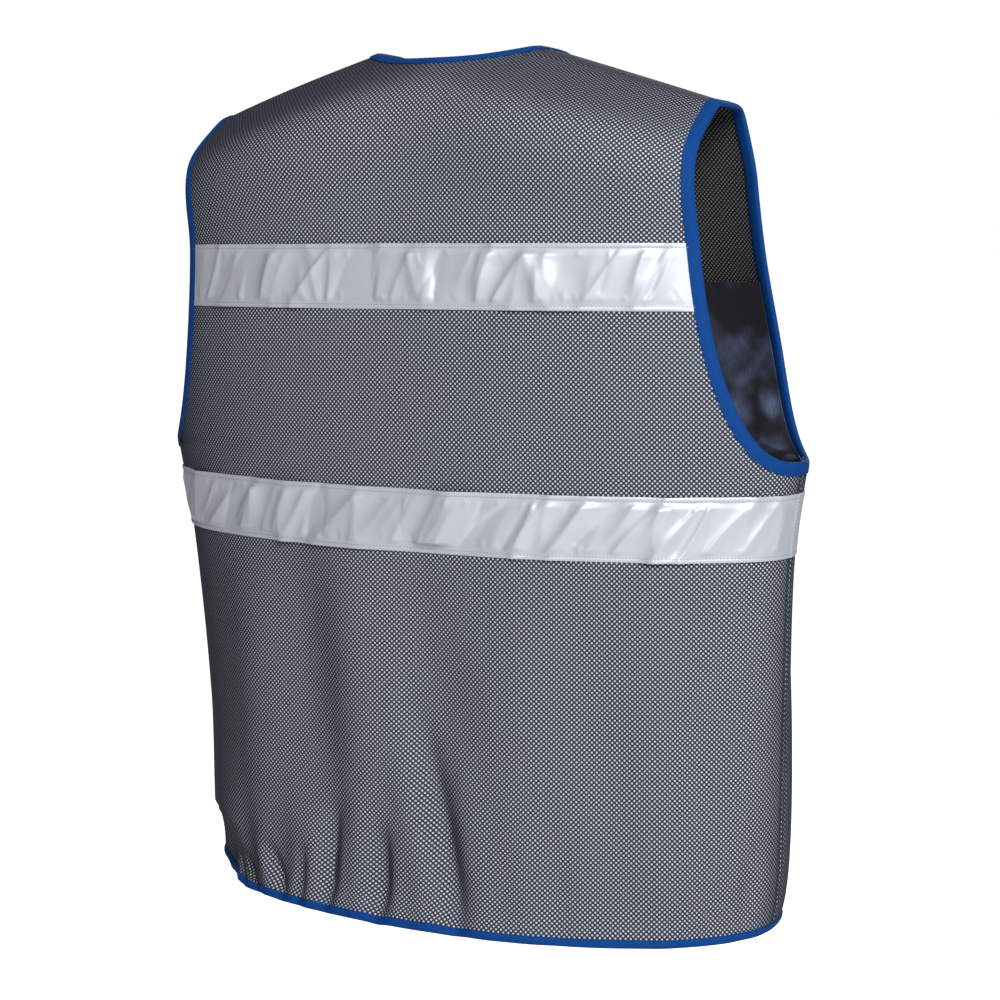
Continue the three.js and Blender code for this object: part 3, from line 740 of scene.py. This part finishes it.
def edge_frame(places, hand, is_loop):
    side, angle, level = places
    edge, out = cloth(side, angle, level)
    if is_loop:
        tangent = np.roll(edge, -1, 0) - np.roll(edge, 1, 0)
    else:
        tangent = np.gradient(edge, axis=0)
    inward = np.cross(out, tangent)
    inward *= hand / np.linalg.norm(inward, axis=1, keepdims=True)
    across, up, _ = directions(side, angle, level)
    aa, ab, bb = ((across * across).sum(1), (across * up).sum(1), (up * up).sum(1))
    a, b = (across * inward).sum(1), (up * inward).sum(1)
    turn, climb = (a * bb - b * ab) / (aa * bb - ab * ab), (b * aa - a * ab) / (aa * bb - ab * ab)

    def inset(distance, height=0.0):
        new_angle, new_level = angle + turn * distance, level + climb * distance
        point, normal = cloth(side, new_angle, new_level)
        step = np.linalg.norm(point - edge, axis=1, keepdims=True)
        share = distance / np.maximum(step, 1e-9)
        point = edge + (point - edge) * share
        return point + normal * np.asarray(height)[..., None], normal
    return edge, out, inward, inset


def folded_strip(name, places, hand, width, is_loop, material):
    edge, out, inward, inset = edge_frame(places, hand, is_loop)
    low, high = HALF_MESH + 0.0002, HALF_MESH + BINDING_RISE
    upper = [
        (width, low), (width, high - 0.0002), (width - 0.0004, high), (width * 0.78, high - 0.0002),
        (width * 0.70, high + 0.0001), (width * 0.35, high + 0.0002), (0.0008, high),
    ]
    fold = [
        (-0.0008, high - 0.0005), (-0.0015, high * 0.35),
        (-0.0015, -high * 0.35), (-0.0008, -high + 0.0005),
    ]
    lower = [(0.0008, -high), (width * 0.5, -high), (width - 0.0004, -high), (width, -high + 0.0002)]
    inside = [(width, -low), (0.0003, -low), (0.0001, 0.0), (0.0003, low)]
    section = upper + fold + lower + inside
    rings = []
    for distance, height in section:
        if distance > 0:
            rings.append(inset(distance, np.full(len(edge), height))[0])
        else:
            rings.append(edge + inward * distance + out * height)
    points = np.stack(rings, 1)
    count, sides = points.shape[:2]
    index = np.arange(count * sides).reshape(count, sides)
    ahead = np.roll(index, -1, 0)[: count if is_loop else count - 1]
    here = index[: len(ahead)]
    faces = np.stack([here, np.roll(here, -1, 1), np.roll(ahead, -1, 1), ahead], -1).reshape(-1, 4)
    flat = points.reshape(-1, 3)
    start, second, third = flat[faces[2][:3]]
    normal = np.cross(second - start, third - start)
    is_turned = normal @ out[0] < 0
    if is_turned:
        faces = faces[:, ::-1]
    faces = faces.tolist()
    if not is_loop:
        first, last = index[0].tolist(), index[-1].tolist()
        faces += [first if is_turned else first[::-1], last[::-1] if is_turned else last]
    run = np.concatenate([[0], np.cumsum(np.linalg.norm(np.diff(edge, axis=0), axis=1))])
    around = np.concatenate([[0], np.cumsum(np.linalg.norm(np.diff(points[0], axis=0), axis=1))])
    uv = np.stack(np.broadcast_arrays(run[:, None], around[None, :]), -1).reshape(-1, 2)
    piece = solid_mesh(name, flat, faces, uv, None, material)
    stitch_line = inset(width - 0.0016, np.full(len(edge), high + 0.00005))[0]
    length = run[-1] + (np.linalg.norm(edge[-1] - edge[0]) if is_loop else 0)
    return piece, stitch_line, length


def armhole_places(hand):
    level = np.linspace(0, 1, 600) ** 2
    back = (BACK, hand * edge_angle(BACK, level[::-1]), level[::-1])
    front = (FRONT, hand * edge_angle(FRONT, level[1:-1]), level[1:-1])
    return edge_places([back, front])


def neck_places():
    corner = angle_across(NECK_HALF_WIDTH / yoke_half_width(1.0), yoke_squareness(1.0))
    edges = {side: edge_angle(side, 1.0) for side in (BACK, FRONT)}
    start = zip_angle(1.0)
    shares = np.linspace(0, (corner - start) / (edges[FRONT] - start), 120)
    parts = []
    for hand, order in ((1, 1), (-1, -1)):
        level = top_level(FRONT, hand, shares)
        angle = column_angle(FRONT, hand, shares, level)
        parts.append((FRONT, angle[::order], level[::order]))
    shares = np.linspace(1, -1, 200) * corner / edges[BACK]
    level = top_level(BACK, 1, shares)
    return edge_places([parts[0], (BACK, column_angle(BACK, 1, shares, level), level), parts[1]])


def hem_places():
    level = np.full(300, -1.0)
    start = zip_angle(-1.0)
    left = (FRONT, np.linspace(start, QUARTER, 150)[:-1], level[:149])
    back = (BACK, np.linspace(QUARTER, -QUARTER, 300), level)
    right = (FRONT, -np.linspace(QUARTER, start, 150)[1:], level[:149])
    return edge_places([left, back, right])


sewn_lines = {}


def sewn_binding(name, node, places, hand, width, is_loop):
    piece, line, length = folded_strip(name, places, hand, width, is_loop, edge_blue)
    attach(piece, "root")
    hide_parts(node)
    sewn_lines[name] = (line, is_loop)


sewn_binding("neck_edge", "neck_binding", evened(neck_places(), 260, False), -1, NECK_BINDING_WIDTH, False)
sewn_binding("hem_edge", "hem_binding", evened(hem_places(), 700, False), 1, HEM_BINDING_WIDTH, False)
for label, hand in (("left", 1), ("right", -1)):
    loop = evened(armhole_places(hand), 320, True)
    sewn_binding(f"armhole_edge_{label}", f"armhole_binding_{label}", loop, hand, ARMHOLE_BINDING_WIDTH, True)


# Reflective bands: silver fabric tape 50 mm wide, sewn flat on the mesh along both edges, one
# round the chest and one round the waist. It puckers between its two seams.
TAPE_WIDTH = 0.050
TAPE_THICKNESS = 0.0005
TAPE_SEAM = 0.0032
END_SEAM = 0.0050
LEAN = {BACK: -0.45, FRONT: 0.25}
SILVER_DARK = (0.605, 0.637, 0.705)
SILVER_LIGHT = (0.715, 0.747, 0.815)
CHEST_TAPE_TOP = -0.152
WAIST_TAPE_TOP = -0.3405


def reflective_material():
    material, nodes, links, cover, uv = cloth_shader("reflective tape", {"Metallic": 0.40})
    threads = woven_threads(nodes, links, uv, 0.0007)
    silver = mixed(nodes, links, noise(nodes, links, uv, 26.0, 3.0), SILVER_DARK, SILVER_LIGHT)
    links.new(silver, cover.inputs["Base Color"])
    shine = ranged(nodes, links, threads.outputs["Tone"], results=(0.45, 0.53))
    links.new(shine, cover.inputs["Roughness"])
    bumped(nodes, links, cover, threads.outputs["Height"], 0.12, 0.0002)
    return material


reflective = reflective_material()


# Puckers: ridges that start at a seam, lean across the tape and die out. Each row says how many
# there are to a metre, and the ranges of their heights, widths and reaches across the tape.
LARGE_PUCKERS = (95, (0.0013, 0.0036), (0.0018, 0.0050), (0.8, 2.2))
SMALL_PUCKERS = (150, (0.0003, 0.0008), (0.0009, 0.0018), (0.15, 0.45))


def puckers(u, v, chance, kind, lean):
    count, sizes, widths, reaches = kind
    start, end = u.min(), u.max()
    across = np.clip((v - TAPE_SEAM) / (TAPE_WIDTH - 2 * TAPE_SEAM), 0, 1)
    lift = np.zeros_like(u)
    for k in range(int((end - start) * count)):
        place = start + (k + chance.uniform(-0.3, 1.3)) / count
        slope = lean + chance.normal(0, 0.22)
        bend = chance.normal(0, 0.15)
        size = chance.uniform(*sizes) * chance.choice([1.0, 1.0, -0.6])
        reach = chance.uniform(*reaches)
        share = across if chance.random() < 0.55 else 1 - across
        width = chance.uniform(*widths) * (1 + 1.2 * share)
        centre = place + (slope * (across - 0.5) + bend * share * share) * (TAPE_WIDTH - 2 * TAPE_SEAM)
        off = (u - centre) / width
        ridge = np.exp(-(np.abs(np.where(off > 0, off, 0.45 * off)) ** 1.4))
        envelope = smooth_step(share / 0.14) * (1 - smooth_step((share - 0.5 * reach) / (0.5 * reach)))
        lift = lift + size * envelope * ridge
    return lift


# The tape swells between its seams, rolls a little outside them and sinks to the mesh at its ends
TAPE_ROWS = 46
TAPE_CLEARANCE = 0.0006
EDGE_ROLL = 0.0005
TAPE_SWELL = 0.0007
PUCKER_DEEPEST = 0.0008
END_FLAT = 0.006
END_RISE = 0.02
END_ROLL = 0.0006
END_SINK = 0.0003


def tape_points(side, hand, top, first, last, columns, seed, has_folded_ends):
    rows = TAPE_ROWS
    heights = np.linspace(top - TAPE_WIDTH, top, rows)
    shares = np.linspace(first, last, columns)
    z = np.repeat(heights[:, None], columns, 1)
    column = np.repeat(shares[None, :], rows, 0)
    level = level_at(side, hand, column, z)
    angle = column_angle(side, hand, column, level)
    middle, out = cloth(side, angle, level, HALF_MESH + TAPE_CLEARANCE)
    u = lengths(middle, 1)
    v = lengths(middle, 0)
    v = v * (TAPE_WIDTH / v[-1:])
    chance = np.random.default_rng(seed)
    from_seam = np.minimum(v, TAPE_WIDTH - v)
    edge_roll = EDGE_ROLL * np.sin(np.pi * np.clip(from_seam / TAPE_SEAM, 0, 1)) ** 0.5
    strip = np.where(from_seam < TAPE_SEAM, edge_roll, 0)
    inside = smooth_step((from_seam - TAPE_SEAM) / 0.006)
    middle_share = np.sin(np.pi * np.clip((u - u.min()) / (u.max() - u.min()), 0, 1)) ** 0.5
    folds = puckers(u, v, chance, LARGE_PUCKERS, LEAN[side])
    folds = folds + puckers(u, v, chance, SMALL_PUCKERS, 0.0)
    lift = strip + TAPE_SWELL * inside + np.maximum(folds * (0.35 + 0.65 * middle_share), -PUCKER_DEEPEST)
    from_end = np.minimum(u - u[:, :1], u[:, -1:] - u)
    lift = lift * smooth_step((from_end - END_FLAT) / END_RISE)
    if has_folded_ends:
        lift = lift + END_ROLL * np.sin(np.pi * np.clip(from_end / END_SEAM, 0, 1))
    else:
        lift = lift - END_SINK * smooth_step(1 - from_end / END_RISE)
    middle = middle + out * lift[..., None]
    return middle, out, np.stack([u, v], -1)


STITCH_HEIGHT = 0.0004


def sewn_tape(name, node, side, hand, top, first, last, columns, seed, has_folded_ends=False):
    middle, out, uv = tape_points(side, hand, top, first, last, columns, seed, has_folded_ends)
    thick = out * (TAPE_THICKNESS / 2)
    piece = shell(name, middle + thick, middle - thick, uv, reflective)
    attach(piece, "root")
    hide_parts(node)
    surface = middle + out * STITCH_HEIGHT
    seam_row = round(len(middle) * TAPE_SEAM / TAPE_WIDTH)
    for label, row in (("low", seam_row), ("high", len(middle) - 1 - seam_row)):
        sewn_lines[f"{name}_{label}"] = (surface[row], False)
    if has_folded_ends:
        for label, column in (("right", 5), ("left", columns - 6)):
            sewn_lines[f"{name}_{label}"] = (surface[3:-3, column], False)


sewn_tape("chest_band_back", "chest_tape_back", BACK, 1, CHEST_TAPE_TOP, -0.985, 0.985, 380, 11)
sewn_tape("waist_band_back", "waist_tape_back", BACK, 1, WAIST_TAPE_TOP, -0.996, 0.996, 520, 12, True)
for label, hand, seed in (("left", 1, 21), ("right", -1, 31)):
    for band, top, last, columns, draw in (
        ("chest", CHEST_TAPE_TOP, 0.975, 150, seed),
        ("waist", WAIST_TAPE_TOP, 0.998, 210, seed + 1),
    ):
        name, node = f"{band}_band_front_{label}", f"{band}_tape_front_{label}"
        sewn_tape(name, node, FRONT, hand, top, 0.005, last, columns, draw)


# Front linings: smooth blue-grey cloth inside each front, sewn along its upper edge behind the
# chest band and hanging in soft folds to the hem.
LINING_DARK = (0.030, 0.028, 0.037)
# The blue colour of the highlights painted on the dark lining cloth
LINING_PAINTED_HIGHLIGHT = (0.250, 0.330, 0.590)


def lining_material():
    looks = {"Roughness": 0.55, "Specular IOR Level": 0.2, "Sheen Weight": 0.05}
    material, nodes, links, cover, uv = cloth_shader("lining cloth", looks)
    stretched = nodes.new("ShaderNodeMapping")
    stretched.inputs["Scale"].default_value = (900.0, 120.0, 1.0)
    links.new(uv, stretched.inputs["Vector"])
    fibres = noise(nodes, links, stretched.outputs[0], 1.0, 4.0)
    # Patches of painted highlight, streaked along the fibres and stronger away from the zip, towards the side
    # edge.
    painted_highlight_patches = ranged(nodes, links, noise(nodes, links, uv, 22.0), (0.42, 0.68), kind="SMOOTHSTEP")
    across = nodes.new("ShaderNodeSeparateXYZ")
    links.new(uv, across.inputs["Vector"])
    painted_light_towards_side = ranged(nodes, links, across.outputs["X"], (0.15, 0.23), (0.35, 1.0), "SMOOTHSTEP")
    painted_sheen = joined(nodes, links, "ShaderNodeMath", "MULTIPLY", fibres, painted_highlight_patches)
    painted_sheen = joined(nodes, links, "ShaderNodeMath", "MULTIPLY", painted_sheen.outputs[0], painted_light_towards_side)
    shade = mixed(nodes, links, painted_sheen.outputs[0], LINING_DARK, LINING_PAINTED_HIGHLIGHT)
    links.new(shade, cover.inputs["Base Color"])
    bumped(nodes, links, cover, fibres, 0.3, 0.0003)
    return material


lining_cloth = lining_material()


# The lining's upper edge over the chest band's lower edge, its lower edge over the hem, its gap
# from the mesh, and the height of its two runs of soft folds
LINING_OVER_TAPE = 0.021
LINING_OVER_HEM = 0.012
LINING_SLACK = 0.0024
LINING_HALF = 0.0003
WIDE_FOLDS = 0.0016
NARROW_FOLDS = 0.0012
FOLD_EDGE = 0.03


def hung_lining(name, node, hand):
    rows, columns = 120, 80
    bottom = -ARMHOLE_DEPTH - SIDE_LENGTH + LINING_OVER_HEM
    top = CHEST_TAPE_TOP - TAPE_WIDTH + LINING_OVER_TAPE
    z = np.repeat(np.linspace(bottom, top, rows)[:, None], columns, 1)
    level = level_at(FRONT, hand, np.repeat(np.linspace(0, 1, columns)[None, :], rows, 0), z)
    edge = 0.995 - 0.030 * smooth_step((z + ARMHOLE_DEPTH + 0.02) / 0.03)
    column = np.linspace(0.01, 1, columns)[None, :] * edge
    level = level_at(FRONT, hand, column, z)
    angle = column_angle(FRONT, hand, column, level)
    middle, out = cloth(FRONT, angle, level)
    u, v = lengths(middle, 1), lengths(middle, 0)
    fall = smooth_step((v[-1:] - v) / 0.12) * smooth_step(v / FOLD_EDGE)
    fall = fall * smooth_step(u / FOLD_EDGE) * smooth_step((u[:, -1:] - u) / FOLD_EDGE)
    waves = WIDE_FOLDS * np.sin(u * 75 + 6 * v) + NARROW_FOLDS * np.sin(u * 131 - 9 * v + 1.3)
    drop = HALF_MESH + LINING_SLACK + fall * (WIDE_FOLDS + waves)
    middle = middle - out * drop[..., None]
    uv = np.stack([u, v], -1)
    piece = shell(name, middle - out * LINING_HALF, middle + out * LINING_HALF, uv, lining_cloth)
    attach(piece, "root")
    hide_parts(node)


hung_lining("lining_left", "front_lining_left", 1)
hung_lining("lining_right", "front_lining_right", -1)


# Zip: two black woven tapes with moulded teeth down the middle of the front, closed to the neck.
ZIP_TAPE_HALF_WIDTH = 0.0125


def zip_points(columns=9, rows=240):
    level_low, level_high = -1.0, top_level(FRONT, 1, np.array([0.0]))[0]
    level = np.linspace(level_low, level_high, rows)[:, None] + np.zeros(columns)
    share = np.linspace(-1, 1, columns)[None, :]
    angle = zip_angle(level) * share * ZIP_TAPE_HALF_WIDTH / (ZIP_HALF_WIDTH + SEAM_GAP)
    return cloth(FRONT, angle, level, -HALF_MESH - 0.0009)


zip_black = woven_material("zip tape", (0.006, 0.006, 0.007), (0.022, 0.023, 0.026), 0.0008, 0.4, 0.7)
zip_middle, zip_out = zip_points()
zip_uv = np.stack([lengths(zip_middle, 1), lengths(zip_middle, 0)], -1)
zip_tape = shell("zip_tape", zip_middle + zip_out * 0.0005, zip_middle - zip_out * 0.0005, zip_uv, zip_black)
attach(zip_tape, "root")
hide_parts("front_zip")


# Stitches and teeth: short runs of thread that show on top of each seam, and the zip's moulded
# teeth. Each is a small rounded body, strung at an even pitch along its line on the cloth.
def strung_tree(name):
    tree = bpy.data.node_groups.new(name, "GeometryNodeTree")
    tree.interface.new_socket("Geometry", in_out="INPUT", socket_type="NodeSocketGeometry")
    for socket, kind, value in (("Pitch", "NodeSocketFloat", 0.003), ("Length", "NodeSocketFloat", 0.0022),
                                ("Width", "NodeSocketFloat", 0.0005), ("Height", "NodeSocketFloat", 0.0004)):
        tree.interface.new_socket(socket, in_out="INPUT", socket_type=kind).default_value = value
    tree.interface.new_socket("Material", in_out="INPUT", socket_type="NodeSocketMaterial")
    tree.interface.new_socket("Geometry", in_out="OUTPUT", socket_type="NodeSocketGeometry")
    nodes, links = tree.nodes, tree.links
    given, result = nodes.new("NodeGroupInput"), nodes.new("NodeGroupOutput")
    curve = nodes.new("GeometryNodeMeshToCurve")
    links.new(given.outputs["Geometry"], curve.inputs[0])
    even = nodes.new("GeometryNodeResampleCurve")
    even.mode = "LENGTH"
    links.new(curve.outputs[0], even.inputs["Curve"])
    links.new(given.outputs["Pitch"], even.inputs["Length"])
    bead = nodes.new("GeometryNodeMeshIcoSphere")
    bead.inputs["Radius"].default_value = 0.5
    bead.inputs["Subdivisions"].default_value = 1
    tangent = nodes.new("GeometryNodeInputTangent")
    turned = nodes.new("FunctionNodeAlignRotationToVector")
    turned.axis = "X"
    links.new(tangent.outputs[0], turned.inputs["Vector"])
    size = nodes.new("ShaderNodeCombineXYZ")
    for k, socket in enumerate(("Length", "Width", "Height")):
        links.new(given.outputs[socket], size.inputs[k])
    placed = nodes.new("GeometryNodeInstanceOnPoints")
    links.new(even.outputs[0], placed.inputs["Points"])
    links.new(bead.outputs["Mesh"], placed.inputs["Instance"])
    links.new(turned.outputs[0], placed.inputs["Rotation"])
    links.new(size.outputs[0], placed.inputs["Scale"])
    real = nodes.new("GeometryNodeRealizeInstances")
    links.new(placed.outputs[0], real.inputs[0])
    finished = nodes.new("GeometryNodeSetMaterial")
    links.new(real.outputs[0], finished.inputs["Geometry"])
    links.new(given.outputs["Material"], finished.inputs["Material"])
    links.new(finished.outputs[0], result.inputs[0])
    return tree


strung = strung_tree("stitches along a seam")


def grained_material(name, dark, light, scale, roughness):
    material, nodes, links, cover = shader(name, {"Roughness": roughness})
    grain = noise(nodes, links, nodes.new("ShaderNodeTexCoord").outputs["Object"], scale)
    links.new(mixed(nodes, links, grain, dark, light), cover.inputs["Base Color"])
    return material


def thread_material(name, colour):
    return grained_material(name, tuple(0.75 * c for c in colour), colour, 1500.0, 0.6)


def stitched(name, lines, material, slot, pitch, length, width, height):
    points, edges = [], []
    for line, is_loop in lines:
        start = len(points)
        points.extend(line.tolist())
        edges.extend((start + k, start + k + 1) for k in range(len(line) - 1))
        if is_loop:
            edges.append((start + len(line) - 1, start))
    mesh = bpy.data.meshes.new(name + "_path")
    mesh.from_pydata(points, edges, [])
    path = scene_object(name + "_path", mesh)
    modifier = path.modifiers.new("strung", "NODES")
    modifier.node_group = strung
    sockets = {item.name: item.identifier for item in strung.interface.items_tree if item.in_out == "INPUT"}
    values = {"Pitch": pitch, "Length": length, "Width": width, "Height": height, "Material": material}
    for socket, value in values.items():
        modifier[sockets[socket]] = value
    ready = path.evaluated_get(bpy.context.evaluated_depsgraph_get())
    made = bpy.data.meshes.new_from_object(ready)
    made.name = name
    made.polygons.foreach_set("use_smooth", [True] * len(made.polygons))
    piece = scene_object(name, made)
    bpy.data.objects.remove(path)
    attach(piece, "root")
    return piece


silver_thread = thread_material("silver thread", (0.40, 0.42, 0.48))
blue_thread = thread_material("blue thread", (0.006, 0.075, 0.33))
dark_thread = thread_material("dark thread", (0.02, 0.021, 0.026))
tape_lines = [line for name, line in sewn_lines.items() if "band" in name]
edge_lines = [line for name, line in sewn_lines.items() if "edge" in name]
stitched("tape_stitches", tape_lines, silver_thread, "reflective_tape", 0.0028, 0.0021, 0.0006, 0.0006)
stitched("binding_stitches", edge_lines, blue_thread, "edge_binding", 0.0028, 0.0021, 0.0005, 0.0004)

SIDE_STITCH_TURN = 0.030
ZIP_STITCH_TURN = 0.014
THREAD_CLEARANCE = 0.0001
seam_lines = []
for hand in (1, -1):
    level = np.linspace(-0.97, -0.035, 240)
    angle = hand * (QUARTER - SIDE_STITCH_TURN) + np.zeros_like(level)
    seam_lines.append((cloth(BACK, angle, level, HALF_MESH + THREAD_CLEARANCE)[0], False))
stitched("side_seam_stitches", seam_lines, dark_thread, "spacer_mesh", 0.0030, 0.0022, 0.0005, 0.0004)

zip_lines = []
for hand in (1, -1):
    level = np.linspace(-0.97, top_level(FRONT, 1, np.array([0.0]))[0] - 0.03, 300)
    angle = hand * (zip_angle(level) + ZIP_STITCH_TURN)
    zip_lines.append((cloth(FRONT, angle, level, HALF_MESH + THREAD_CLEARANCE)[0], False))
stitched("zip_stitches", zip_lines, dark_thread, "zip_tape", 0.0030, 0.0022, 0.0005, 0.0004)

teeth_black = grained_material("zip teeth", (0.040, 0.041, 0.044), (0.070, 0.071, 0.076), 600.0, 0.35)
TOOTH_OFFSET = 0.0011
TOOTH = (0.0025, 0.0013, 0.0024, 0.0040)
middle_line = zip_middle[:, 4] + zip_out[:, 4] * 0.0012
sideways = zip_middle[:, 5] - zip_middle[:, 3]
sideways /= np.linalg.norm(sideways, axis=1, keepdims=True)
teeth_left = middle_line[2:-4] + sideways[2:-4] * TOOTH_OFFSET
teeth_right = middle_line[3:-3] - sideways[3:-3] * TOOTH_OFFSET
stitched("zip_teeth_left", [(teeth_left, False)], teeth_black, "zip_tape", *TOOTH)
stitched("zip_teeth_right", [(teeth_right, False)], teeth_black, "zip_tape", *TOOTH)


# Zip slider: a small dark metal body that sits on the closed teeth near the neck, with a flat
# pull of the same metal hanging from it.
SLIDER_RADII = (0.0050, 0.0018, 0.0075)
PULL_RADII = (0.0030, 0.0006, 0.0120)
SLIDER_BELOW_TOP = 0.020


def rounded_block(place, sideways, outwards, radii, squareness=0.35, rings=17, points=24):
    rise = np.linspace(-QUARTER, QUARTER, rings)[1:-1, None]
    turn = np.linspace(-math.pi, math.pi, points, endpoint=False)[None, :]

    def signed(value):
        return np.sign(value) * np.abs(value) ** squareness
    x = signed(np.cos(rise)) * signed(np.cos(turn)) * radii[0]
    y = signed(np.cos(rise)) * signed(np.sin(turn)) * radii[1]
    z = signed(np.sin(rise)) * radii[2] + np.zeros_like(turn)
    upwards = np.cross(sideways, outwards)
    shape = x[..., None] * sideways + y[..., None] * outwards + z[..., None] * upwards
    index = np.arange(shape.shape[0] * points).reshape(-1, points)
    following = np.roll(index, -1, axis=1)
    cells = np.stack([index[:-1], following[:-1], following[1:], index[1:]], -1).reshape(-1, 4)
    ends = [index[0, ::-1].tolist(), index[-1].tolist()]
    return place + shape.reshape(-1, 3), cells.tolist() + ends


last_row = len(zip_middle) - 1
slider_row = last_row - round(SLIDER_BELOW_TOP / lengths(zip_middle, 0)[-1, 4] * last_row)
slider_place, slider_out = zip_middle[slider_row, 4], zip_out[slider_row, 4]
across_zip = sideways[slider_row]
downwards = np.cross(slider_out, across_zip)
downwards *= -np.sign(downwards[2])
for name, aside, below, radii in (
    ("zip_slider", 0.0040, 0.0, SLIDER_RADII),
    ("zip_pull", 0.0066, 0.0110, PULL_RADII),
):
    place = slider_place + slider_out * aside + downwards * below
    points, faces = rounded_block(place, across_zip, slider_out, radii)
    block = solid_mesh(name, points, faces, points[:, :2], None, teeth_black)
    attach(block, "root")


# Studio: a wide pale floor well below the hem, a pale surround and two soft lights, the key light
# near the camera, a little to its right and above it.
FLOOR_HALF = 30
FLOOR_HEIGHT = -1.2
floor_mesh = bpy.data.meshes.new("floor")
corners = [(x * FLOOR_HALF, y * FLOOR_HALF, FLOOR_HEIGHT) for x, y in ((-1, -1), (1, -1), (1, 1), (-1, 1))]
floor_mesh.from_pydata(corners, [], [(0, 1, 2, 3)])
floor = scene_object("floor", floor_mesh)
WHITE = (1.0, 1.0, 1.0, 1.0)
floor_looks = {"Base Color": (0.92, 0.92, 0.92, 1.0), "Roughness": 0.9, "Emission Color": WHITE}
floor_paint, nodes, links, cover = shader("floor paint", floor_looks)
floor_rays = nodes.new("ShaderNodeLightPath")
brighter = joined(nodes, links, "ShaderNodeMath", "MULTIPLY", floor_rays.outputs["Is Camera Ray"], 0.95)
links.new(brighter.outputs[0], cover.inputs["Emission Strength"])
floor_mesh.materials.append(floor_paint)

world = bpy.data.worlds.new("surround")
world.use_nodes = True
surround = world.node_tree.nodes["Background"]
surround.inputs["Color"].default_value = WHITE
nodes, links = world.node_tree.nodes, world.node_tree.links
seen = nodes.new("ShaderNodeLightPath").outputs["Is Camera Ray"]
links.new(ranged(nodes, links, seen, results=(0.18, 1.0)), surround.inputs["Strength"])
bpy.context.scene.world = world
bpy.context.scene.view_settings.view_transform = "Standard"


def soft_light(name, place, size, power):
    data = bpy.data.lights.new(name, "AREA")
    data.shape = "RECTANGLE"
    data.size, data.size_y = size
    data.energy = power
    light = scene_object(name, data)
    light.location = place
    light.rotation_euler = (Vector(place) - Vector((0, 0, -0.35))).to_track_quat("Z", "Y").to_euler()


right = Vector((0, 0, 1)).cross(away).normalized()
soft_light("key light", aim + away * 2.3 + right * 0.6 + Vector((0, 0, 1.05)), (1.0, 1.0), 66)
soft_light("back light", aim - away * 2.2 + right * 0.8 + Vector((0, 0, 1.2)), (1.6, 1.6), 16)
